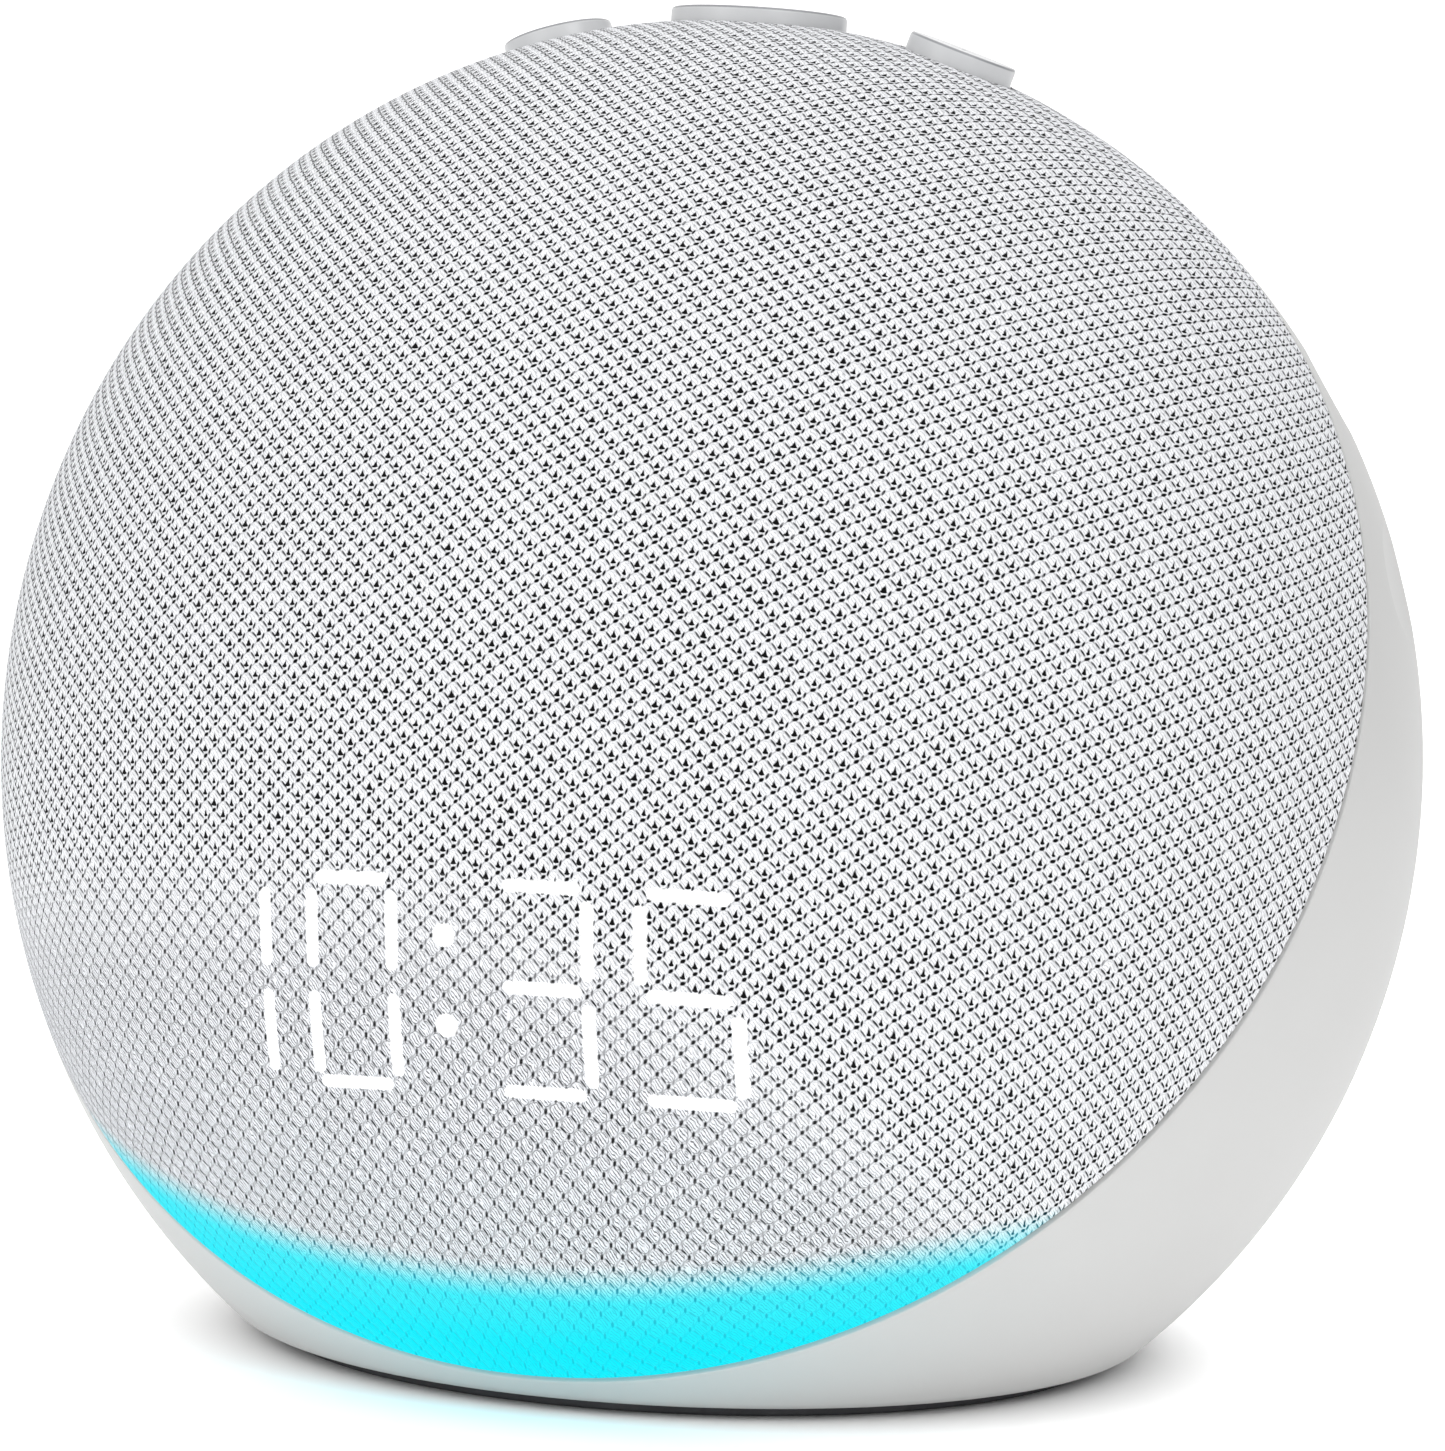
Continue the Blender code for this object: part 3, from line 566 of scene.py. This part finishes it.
# Takes solid shapes out of a mesh
def cutWith(mesh, cutters):
    item = bpy.data.objects.new("cutting", mesh)
    bpy.context.scene.collection.objects.link(item)
    tools = []
    for cutter in cutters:
        tool = bpy.data.objects.new("tool", cutter)
        bpy.context.scene.collection.objects.link(tool)
        modifier = item.modifiers.new("cut", "BOOLEAN")
        modifier.operation = "DIFFERENCE"
        modifier.solver = "EXACT"
        modifier.object = tool
        tools.append(tool)
    graph = bpy.context.evaluated_depsgraph_get()
    result = bpy.data.meshes.new_from_object(item.evaluated_get(graph))
    for tool in tools:
        bpy.data.objects.remove(tool, do_unlink=True)
    bpy.data.objects.remove(item, do_unlink=True)
    return result


def ballHeight(x, y):
    return body["halfHeight"] * math.sqrt(1.0 - (x * x + y * y) / body["radius"] ** 2)


# Place and turn of a button: +Z points out of the ball
def buttonAxis(x):
    point = Vector((x, buttonRow, ballHeight(x, buttonRow)))
    wide, tall = body["radius"] ** 2, body["halfHeight"] ** 2
    normal = Vector((point.x / wide, point.y / wide, point.z / tall)).normalized()
    turn = normal.to_track_quat("Z", "Y").to_matrix().to_4x4()
    return Matrix.Translation(middle + point) @ turn


buttonRow = 3.5        # mm behind the ball's middle
buttons = {
    "volume_down": {"x": -14.9, "radius": 3.9, "proud": 1.1, "mark": "minus"},
    "action": {"x": 0.0, "radius": 6.2, "proud": 0.7, "mark": "dot"},
    "volume_up": {"x": 14.9, "radius": 3.9, "proud": 1.1, "mark": "plus"},
}


# Knitted cover: rings parallel to the seam, rolled in at the edge, with a hole for each button

# A point of the ball where a plane parallel to the seam cuts it
def ringPoint(offset, turn, inset):
    c, s = math.cos(body["seamTilt"]), math.sin(body["seamTilt"])
    wide, tall = body["radius"] - inset, body["halfHeight"] - inset
    a = (s / wide) ** 2 + (c / tall) ** 2
    b = s * c * offset * (1 / tall ** 2 - 1 / wide ** 2)
    rest = max(0.0, 1.0 - (c * offset / wide) ** 2 - (s * offset / tall) ** 2 + b * b / a)
    up = -b / a + math.sqrt(rest / a) * math.sin(turn)
    return forward * offset + upward * up + Vector((wide * math.sqrt(rest) * math.cos(turn), 0, 0))


coverSize = {
    "around": 256,       # faces round a ring
    "down": 108,         # rings from the pole to the seam
    "roll": 0.2,         # mm, radius of the rolled edge
    "tuck": 0.75,        # mm that the edge goes in
    "buttonGap": 0.4,
    "column": 0.79,      # mm of dome to a stitch
    "row": 1.33,
}


# The plane furthest forward touches the ball at one point, the pole of the rings
def coverMesh():
    around, down, roll = coverSize["around"], coverSize["down"], coverSize["roll"]
    furthest = math.sqrt((math.cos(body["seamTilt"]) * body["radius"]) ** 2
                         + (math.sin(body["seamTilt"]) * body["halfHeight"]) ** 2)
    edgeAngle = math.acos(body["seamFront"] / furthest)
    rings = [(furthest * math.cos(edgeAngle * k / down), 0.0) for k in range(1, down + 1)]
    rings[-1] = (body["seamFront"] + roll, 0.0)
    for step in range(1, 6):
        angle = math.pi / 2 * step / 5
        rings.append((body["seamFront"] + roll * (1 - math.sin(angle)), roll * (1 - math.cos(angle))))
    rings.append((body["seamFront"], coverSize["tuck"]))
    bm = bmesh.new()
    c, s = math.cos(body["seamTilt"]), math.sin(body["seamTilt"])
    pole = Vector((0, -c * body["radius"] ** 2, s * body["halfHeight"] ** 2)) / furthest
    tip = bm.verts.new(pole + middle)
    last = None
    for offset, inset in rings:
        ring = [bm.verts.new(ringPoint(offset, 2 * math.pi * k / around, inset) + middle)
                for k in range(around)]
        for k in range(around):
            n = (k + 1) % around
            if last is None:
                bm.faces.new((tip, ring[k], ring[n]))
            else:
                bm.faces.new((last[k], ring[k], ring[n], last[n]))
        last = ring
    bmesh.ops.recalc_face_normals(bm, faces=bm.faces)
    return meshFrom(bm, "knitted_cover")


# Lays the knit over the dome as it is stretched: columns widen to the sides, rows arch
def knitMap(mesh):
    places = np.zeros(len(mesh.vertices) * 3)
    mesh.vertices.foreach_get("co", places)
    places = places.reshape(-1, 3) / mm - np.array(middle)
    side, out, up = places[:, 0], places @ np.array(forward), places @ np.array(upward)
    longitude = np.arctan2(side, out)
    latitude = np.arctan2(up, np.hypot(side, out))
    narrowing = 1 - 0.12 * longitude ** 2 + 0.03 * longitude ** 4 - 0.37 * latitude ** 2
    u = longitude * narrowing * body["radius"] / coverSize["column"]
    arched = latitude - 0.1 * latitude ** 3 - 0.11 * longitude ** 2
    v = arched * body["radius"] / coverSize["row"]
    corners = np.zeros(len(mesh.loops), dtype=np.int64)
    mesh.loops.foreach_get("vertex_index", corners)
    layer = mesh.uv_layers.new(name="knit")
    layer.data.foreach_set("uv", np.stack([u[corners], v[corners]], 1).ravel())


print("knitted cover")
knitFabric = knittedMesh("warp_knit_white")
cover = coverMesh()
holes = []
for entry in buttons.values():
    reach = entry["radius"] + coverSize["buttonGap"]
    hole = lathe([(0, 4), (reach, 4), (reach, -5), (0, -5)], 72, buttonAxis(entry["x"]))
    holes.append(meshFrom(hole, "button_hole"))
cover = cutWith(cover, holes)
for layer in list(cover.uv_layers):
    cover.uv_layers.remove(layer)
knitMap(cover)
knitCover = piece("knitted_cover", cover, knitFabric, "housing", ("fabric_cover",))


# Rear shell

print("rear shell")
shellSize = {            # mm
    "wall": 2.2,
    "edge": 0.15,        # rounding of the rim at the seam and at the foot
    "recessInset": 0.5,
    "recessDepth": 1.2,
    "openRadius": 26.0,
    "openHeight": 3.2,
}


# Down the outside of the ball to its flat base, then round the foot's recess
def shellOutline():
    wide, tall = body["radius"], body["halfHeight"]
    corner = body["cornerRadius"]
    drop = -body["baseDrop"] + corner
    turn = math.asin(drop / (tall - corner))
    reach = (wide - corner) * math.cos(turn)
    points = [(0.0, tall)]
    for step in range(1, 97):
        angle = math.radians(90) + (turn - math.radians(90)) * step / 96
        points.append((wide * math.cos(angle), tall * math.sin(angle)))
    for step in range(1, 13):
        angle = turn + (-math.pi / 2 - turn) * step / 12
        points.append((reach + corner * math.cos(angle), drop + corner * math.sin(angle)))
    base, edge = -body["baseDrop"], shellSize["edge"]
    recess = reach - shellSize["recessInset"]
    ceiling = base + shellSize["recessDepth"]
    return points + [(recess + edge, base), (recess, base + edge), (recess, ceiling),
                     (shellSize["openRadius"], ceiling),
                     (shellSize["openRadius"], base + shellSize["openHeight"])]


def shellInside():
    wide, tall = body["radius"] - shellSize["wall"], body["halfHeight"] - shellSize["wall"]
    lip = -body["baseDrop"] + shellSize["openHeight"]
    turn = math.asin(lip / tall)
    points = [(shellSize["openRadius"], lip)]
    for step in range(41):
        angle = turn + (math.radians(90) - turn) * step / 40
        points.append((wide * math.cos(angle) if step < 40 else 0.0, tall * math.sin(angle)))
    return points


# Keeps what lies behind the seam's plane, and returns the cut's edges
def behindSeam(bm, offset):
    result = bmesh.ops.bisect_plane(bm, geom=bm.verts[:] + bm.edges[:] + bm.faces[:], dist=1e-5,
                                    plane_co=middle + forward * offset, plane_no=forward,
                                    clear_outer=True)
    return [e for e in result["geom_cut"] if isinstance(e, bmesh.types.BMEdge)]


def shellMesh():
    place = Matrix.Translation(middle)
    edge = shellSize["edge"]
    outer = lathe(shellOutline(), 256, place)
    rim = behindSeam(outer, body["seamBack"] - edge)
    loop = list({v for e in rim for v in e.verts})
    wide, tall = body["radius"] ** 2, body["halfHeight"] ** 2
    ring = rim
    base = {v: v.co.copy() for v in loop}
    current = {v: v for v in loop}
    for step in range(1, 5):
        angle = math.pi / 2 * step / 4
        made = bmesh.ops.extrude_edge_only(outer, edges=ring)
        fresh = [v for v in made["geom"] if isinstance(v, bmesh.types.BMVert)]
        byPlace = {tuple(round(c, 6) for c in v.co): v for v in fresh}
        following = {}
        for start, now in current.items():
            moved = byPlace[tuple(round(c, 6) for c in now.co)]
            local = base[start] - middle
            normal = Vector((local.x / wide, local.y / wide, local.z / tall)).normalized()
            inPlane = (normal - forward * normal.dot(forward)).normalized()
            following[start] = (moved, base[start] + forward * edge * math.sin(angle)
                                - inPlane * edge * (1 - math.cos(angle)))
        for moved, target in following.values():
            moved.co = target
        current = {start: moved for start, (moved, target) in following.items()}
        ring = [e for e in made["geom"] if isinstance(e, bmesh.types.BMEdge)]
    inner = lathe(shellInside(), 128, place)
    behindSeam(inner, body["seamBack"])
    holder = bpy.data.meshes.new("inside")
    inner.to_mesh(holder)
    inner.free()
    outer.from_mesh(holder)
    loose = [e for e in outer.edges if e.is_boundary]
    atSeam = [e for e in loose if all(abs((v.co - middle).dot(forward) - body["seamBack"]) < 0.01
                                      for v in e.verts)]
    bmesh.ops.bridge_loops(outer, edges=atSeam)
    bmesh.ops.remove_doubles(outer, verts=outer.verts, dist=0.001)
    bmesh.ops.holes_fill(outer, edges=[e for e in outer.edges if e.is_boundary], sides=0)
    bmesh.ops.recalc_face_normals(outer, faces=outer.faces)
    return meshFrom(outer, "rear_shell_skin")


hollows = [                               # shallow moulded dents behind the seam, on the right
    {"azimuth": 79.0, "height": 17.5, "depth": 0.55, "radius": 25.0, "reach": 5.2, "stretch": 1.9},
    {"azimuth": 73.5, "height": 33.5, "depth": 0.6, "radius": 12.0, "reach": 4.5, "stretch": 1.2},
]


# Point of the ball's surface, turned so that +Z points out of it
def hollowPlace(entry):
    azimuth, height = math.radians(entry["azimuth"]), math.radians(entry["height"])
    way = Vector((math.sin(azimuth) * math.cos(height), math.cos(azimuth) * math.cos(height),
                  math.sin(height)))
    wide, tall = body["radius"], body["halfHeight"]
    point = way / math.sqrt((way.x ** 2 + way.y ** 2) / wide ** 2 + way.z ** 2 / tall ** 2)
    normal = Vector((point.x / wide ** 2, point.y / wide ** 2, point.z / tall ** 2)).normalized()
    return Matrix.Translation(middle + point) @ normal.to_track_quat("Z", "Y").to_matrix().to_4x4()


def hollowCut(entry):
    steps = 16
    outline = [(0.0, 3.0), (entry["reach"], 3.0)]
    for step in range(steps + 1):
        out = entry["reach"] * (1 - step / steps)
        outline.append((out, out * out / (2 * entry["radius"]) - entry["depth"]))
    wide = Matrix.Diagonal((entry["stretch"], 1.0, 1.0, 1.0))
    return meshFrom(lathe(outline, 96, hollowPlace(entry) @ wide), "hollow_cut")


inlet = {                # mm
    "drop": 24.0,        # below the ball's middle
    "hole": 7.1,
    "rim": 43.2,         # behind the ball's middle
    "step": 37.5,
    "front": 36.0,
}
shell = shellMesh()
backTurn = (Matrix.Translation(middle - Vector((0, 0, inlet["drop"])))
            @ Matrix.Rotation(-math.pi / 2, 4, "X"))
inletCut = meshFrom(lathe([(0, 60), (inlet["hole"], 60), (inlet["hole"], 30), (0, 30)], 96, backTurn),
                    "inlet_cut")
shell = cutWith(shell, [inletCut] + [hollowCut(entry) for entry in hollows])
shellPlastic = moulded("satin_abs_light_grey", "#c2c2c1", 0.5, 0.12, 0.006, 0.02, IOR=1.52,
                       Specular_IOR_Level=0.35)
piece("rear_shell_skin", shell, shellPlastic, "housing", ("rear_shell",), 40)


# Keeps the rims of the hollows crisp
def creaseRims(mesh):
    bm = bmesh.new()
    bm.from_mesh(mesh)
    centres = [(hollowPlace(entry).translation * mm, entry["reach"] * entry["stretch"] * mm)
               for entry in hollows]
    for edge in bm.edges:
        if len(edge.link_faces) == 2 and edge.calc_face_angle() > math.radians(6):
            halfway = (edge.verts[0].co + edge.verts[1].co) / 2
            if any((halfway - centre).length < reach for centre, reach in centres):
                edge.smooth = False
    bm.to_mesh(mesh)
    bm.free()


creaseRims(shell)


# Buttons

print("buttons")
sign = {"reach": 1.0, "half": 0.14, "dot": 0.7}                    # mm
cap = {                # mm, heights from the ball's surface
    "skirt": -3.8,
    "flange": 0.9,
    "flangeBase": -4.8,
    "stem": 1.6,
    "stemBase": -6.1,
}


# Translucent satin acrylic: pale and milky, with painted shade along the rounded rim of its top, and a
# sunk printed sign
def buttonPlastic(name, axis, entry):
    material, tree, shader = startMaterial(name, IOR=1.49, Roughness=0.3)
    vector = objectPlace(tree)
    place = alongAxes(tree, vector)
    local = axis.inverted()
    flat = []
    for row in range(3):
        terms = [place[k] * local[row][k] for k in range(3)]
        flat.append(terms[0] + terms[1] + terms[2] + local[row][3])
    x, y, z = flat
    bar = (abs(x) - sign["reach"]).most(abs(y) - sign["half"])
    upright = (abs(y) - sign["reach"]).most(abs(x) - sign["half"])
    out = (x * x + y * y).math("SQRT")
    spot = out - sign["dot"]
    shape = {"minus": bar, "plus": bar.least(upright), "dot": spot}[entry["mark"]]
    printed = shape.ramp(0.03, -0.03)
    cloud = noise(tree, vector, 0.35, 3.0)
    milk = mixColour(tree, cloud, linear("#cfd0d1"), linear("#bebfc1"))
    # Painted shade along the rounded edge of the top
    rim = out.ramp(entry["radius"] - 0.3, entry["radius"] - 0.12)
    rim = rim * z.ramp(entry["proud"] - 0.22, entry["proud"] - 0.12)
    milk = mixColour(tree, rim, milk, linear("#8c8d90"))
    tree.links.new(mixColour(tree, printed, milk, linear("#6f7074")), shader.inputs["Base Color"])
    fine = noise(tree, vector, 7.0, 2.0)
    bump(tree, shader, fine * 0.1 - printed, 0.05)
    return material


for label, entry in buttons.items():
    axis = buttonAxis(entry["x"])
    radius, proud = entry["radius"], entry["proud"]
    wide = radius + cap["flange"]
    outline = rounded([
        (0.0, proud), (radius, proud, 0.3), (radius, cap["skirt"], 0.0), (wide, cap["skirt"]),
        (wide, cap["flangeBase"]), (cap["stem"], cap["flangeBase"], 0.2),
        (cap["stem"], cap["stemBase"]), (0.0, cap["stemBase"]),
    ], 0.1)
    mesh = meshFrom(lathe(outline, 96, axis), label + "_cap")
    piece(label + "_cap", mesh, buttonPlastic("satin_acrylic_" + label, axis, entry), label,
          (label + "_button",), 35)


# Foot and inlet

print("foot and inlet")
footRubber = rubber("moulded_silicone_rubber", "#505053")
foot = {"radius": 29.6, "top": -39.4, "bottom": -41.1}            # mm from the ball's middle
footOutline = rounded([(0.0, foot["top"]), (foot["radius"], foot["top"], 0.15),
                       (foot["radius"], foot["bottom"], 0.4), (0.0, foot["bottom"])], 0.2)
footMesh = meshFrom(lathe(footOutline, 192, Matrix.Translation(middle)), "rubber_foot_pad")
piece("rubber_foot_pad", footMesh, footRubber, "housing", ("rubber_foot",), 35)

darkAbs = moulded("moulded_abs_black", "#1d1d1f", 0.5, 0.1, 0.008, 0.1, IOR=1.52)
bezelOutline = rounded([
    (6.8, inlet["rim"], 0.2), (6.8, inlet["front"]), (4.3, inlet["front"]), (4.3, inlet["step"]),
    (5.6, inlet["step"]), (5.6, inlet["rim"], 0.2),
], 0.1)


# The bezel's rim follows the ball, 0.3 mm under its surface
def bezelMesh():
    bm = lathe(bezelOutline, 96, Matrix.Identity(4), closed=True)
    wide, tall = body["radius"] - 0.3, body["halfHeight"] - 0.3
    for vert in bm.verts:
        if vert.co.z > 40.0:
            x, z = vert.co.x, -vert.co.y - inlet["drop"]
            surface = wide * math.sqrt(1.0 - (x / wide) ** 2 - (z / tall) ** 2)
            vert.co.z += surface - inlet["rim"]
    bmesh.ops.transform(bm, matrix=backTurn, verts=bm.verts)
    bmesh.ops.recalc_face_normals(bm, faces=bm.faces)
    return meshFrom(bm, "inlet_bezel")


piece("inlet_bezel", bezelMesh(), darkAbs, "housing", ("jack_bezel",), 35)


# Carried-over CAD pieces: each takes a finish from its real material

print("inner pieces")
whiteAbs = moulded("moulded_abs_white", "#e3e3e1", 0.5, 0.15, 0.008, 0.05, IOR=1.52)
milkyAcrylic = moulded("milky_acrylic", "#e9f6f7", 0.35, 0.3, 0.004, 0.05, IOR=1.49)
wallBoard = circuitBoard("lacquered_board_upright", 0, 2, "#0f4a2c", "#1f7a4a")
floorBoard = circuitBoard("lacquered_board_level", 0, 1, "#0f4a2c", "#1f7a4a")
amberFilm = circuitBoard("polyimide_flex", 0, 1, "#8a4a12", "#b8742a")
platedSteel = metal("zinc_plated_steel", "#b9bcc0", 0.3, (1.0, 1.0, 6.0), 0.004, 1.5)
stampedSteel = metal("stamped_tin_plate", "#c4c6c8", 0.26, (1.0, 8.0, 1.0), 0.003, 1.2)
castAluminium = metal("extruded_aluminium", "#c9cbce", 0.34, (8.0, 1.0, 1.0), 0.006, 1.2)
ferrite = ferriteStone("sintered_ferrite")
pulp = paperPulp("pressed_paper_pulp")
coil = windings("enamelled_copper_turns", forward)
jacket = sleeve("pvc_jacket_black", "#161617")
gel = phosphor("led_gel_in_white_package")

finishes = {
    "grille_frame": (darkAbs, "dark_plastic"),
    "seam_hoop": (whiteAbs, "white_plastic"),
    "base_plate": (whiteAbs, "white_plastic"),
    "chassis_tray": (darkAbs, "dark_plastic"),
    "light_ring": (milkyAcrylic, "diffuser"),
    "ring_led_board": (floorBoard, "circuit_board"),
    "button_flex_board": (amberFilm, "flex_film"),
    "button_bracket": (whiteAbs, "white_plastic"),
    "clock_mask": (darkAbs, "dark_plastic"),
    "clock_board": (wallBoard, "circuit_board"),
    "speaker_frame": (stampedSteel, "plated_steel"),
    "speaker_surround": (footRubber, "foot_rubber"),
    "speaker_cone": (pulp, "cone_paper"),
    "dust_cap": (pulp, "cone_paper"),
    "voice_coil": (coil, "coil_copper"),
    "spider": (amberFilm, "flex_film"),
    "top_plate": (platedSteel, "plated_steel"),
    "magnet": (ferrite, "ferrite"),
    "pole_piece": (platedSteel, "plated_steel"),
    "speaker_baffle": (darkAbs, "dark_plastic"),
    "main_board": (wallBoard, "circuit_board"),
    "board_shield": (stampedSteel, "plated_steel"),
    "heat_spreader": (castAluminium, "aluminium"),
    "reservoir_capacitor": (castAluminium, "aluminium"),
    "power_jack": (darkAbs, "dark_plastic"),
    "jack_pin": (platedSteel, "plated_steel"),
    "microphone_left": (stampedSteel, "plated_steel"),
    "microphone_right": (stampedSteel, "plated_steel"),
}
byFamily = (("_screw_", platedSteel, "plated_steel"), ("_led_", gel, "led_package"),
            ("_cable", jacket, "cable_jacket"), ("_switch", darkAbs, "dark_plastic"),
            ("_plunger", platedSteel, "plated_steel"))
for name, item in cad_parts.items():
    if item.hide_render:
        continue
    found = finishes.get(name)
    if found is None:
        found = next((m, s) for part, m, s in byFamily if part in name)
    item.data.materials.clear()
    item.data.materials.append(found[0])


# Stage, light and camera

print("stage")


# Pale paper that lies flat under the speaker and curves up behind it
def stageSweep():
    material, tree, shader = startMaterial("pale_paper_sweep", Roughness=0.9,
                                           Emission_Color=(1.0, 1.0, 1.0, 1.0))
    vector = objectPlace(tree)
    place = alongAxes(tree, vector)
    out = (place[0] * place[0] + place[1] * place[1]).math("SQRT")
    # The paper glows evenly from 40 mm out; the glow fades to nothing towards the foot, a painted
    # contact shadow
    tree.links.new((out.ramp(29.0, 40.0) * 0.35).socket, shader.inputs["Emission Strength"])
    tooth = noise(tree, vector, 1.5, 2.0)
    shade = mixColour(tree, tooth, linear("#fdfdfd"), linear("#fafafa"))
    tree.links.new(shade, shader.inputs["Base Color"])
    profile = [(-3.0, 0.0), (1.2, 0.0)]
    for step in range(1, 13):
        angle = math.pi / 2 * step / 12
        profile.append((1.2 + 0.6 * math.sin(angle), 0.6 * (1 - math.cos(angle))))
    profile.append((1.8, 2.4))
    bm = bmesh.new()
    rows = [[bm.verts.new((x, y, z)) for y, z in profile] for x in (-1.6, 0.5)]
    for k in range(len(profile) - 1):
        bm.faces.new((rows[0][k], rows[1][k], rows[1][k + 1], rows[0][k + 1]))
    mesh = bpy.data.meshes.new("sweep")
    bm.to_mesh(mesh)
    bm.free()
    mesh.shade_smooth()
    mesh.materials.append(material)
    sweep = bpy.data.objects.new("sweep", mesh)
    bpy.context.scene.collection.objects.link(sweep)


stageSweep()

scene = bpy.context.scene
scene.view_settings.view_transform = "Standard"
world = bpy.data.worlds.new("studio")
world.use_nodes = True
tree = world.node_tree
sky = tree.nodes["Background"]
way = node(tree, "TexCoord").outputs["Generated"]
toward = node(tree, "VectorMath", {0: way, 1: (0.85, 0.5, 0.0)}, operation="DOT_PRODUCT")
dusk = Signal(tree, toward.outputs["Value"]).ramp(0.1, 0.8)     # dimmer at the right and the rear
give(tree, sky.inputs["Color"], mixColour(tree, dusk, linear("#ffffff"), linear("#a2a2a3")))
sky.inputs["Strength"].default_value = 0.82
scene.world = world


# A large soft box
def softLight(name, place, aim, width, power):
    light = bpy.data.lights.new(name, "AREA")
    light.shape = "RECTANGLE"
    light.size, light.size_y = width
    light.energy = power
    item = bpy.data.objects.new(name, light)
    item.location = place
    item.rotation_euler = (Vector(aim) - Vector(place)).to_track_quat("-Z", "Y").to_euler()
    scene.collection.objects.link(item)


softLight("key_left", (-0.5, -0.8, 0.6), (0, 0, 0.04), (0.6, 0.6), 2.0)
softLight("overhead", (0.25, 0.1, 1.0), (0, 0, 0.04), (0.8, 0.8), 3.0)
softLight("fill_right", (0.8, -0.6, 0.7), (0, 0, 0.06), (0.5, 0.5), 3.4)

view = {
    "lens": 175.55,      # mm, on a 36 mm sensor
    "place": (0.169363, -0.46753, 0.093364),
    "sight": (-0.3377, 0.93597, -0.09959),
    "right": (0.93849, 0.34293, 0.04057),
}
camera = bpy.data.cameras.new("camera")
camera.lens = view["lens"]
camera.sensor_width = 36.0
camera.clip_start, camera.clip_end = 0.01, 20.0
eye = bpy.data.objects.new("camera", camera)
place = Vector(view["place"])
sight = Vector(view["sight"]).normalized()
right = Vector(view["right"]).normalized()
up = right.cross(sight)
eye.matrix_world = Matrix((
    (right.x, up.x, -sight.x, place.x),
    (right.y, up.y, -sight.y, place.y),
    (right.z, up.z, -sight.z, place.z),
    (0, 0, 0, 1),
))
scene.collection.objects.link(eye)
scene.camera = eye

print("done")
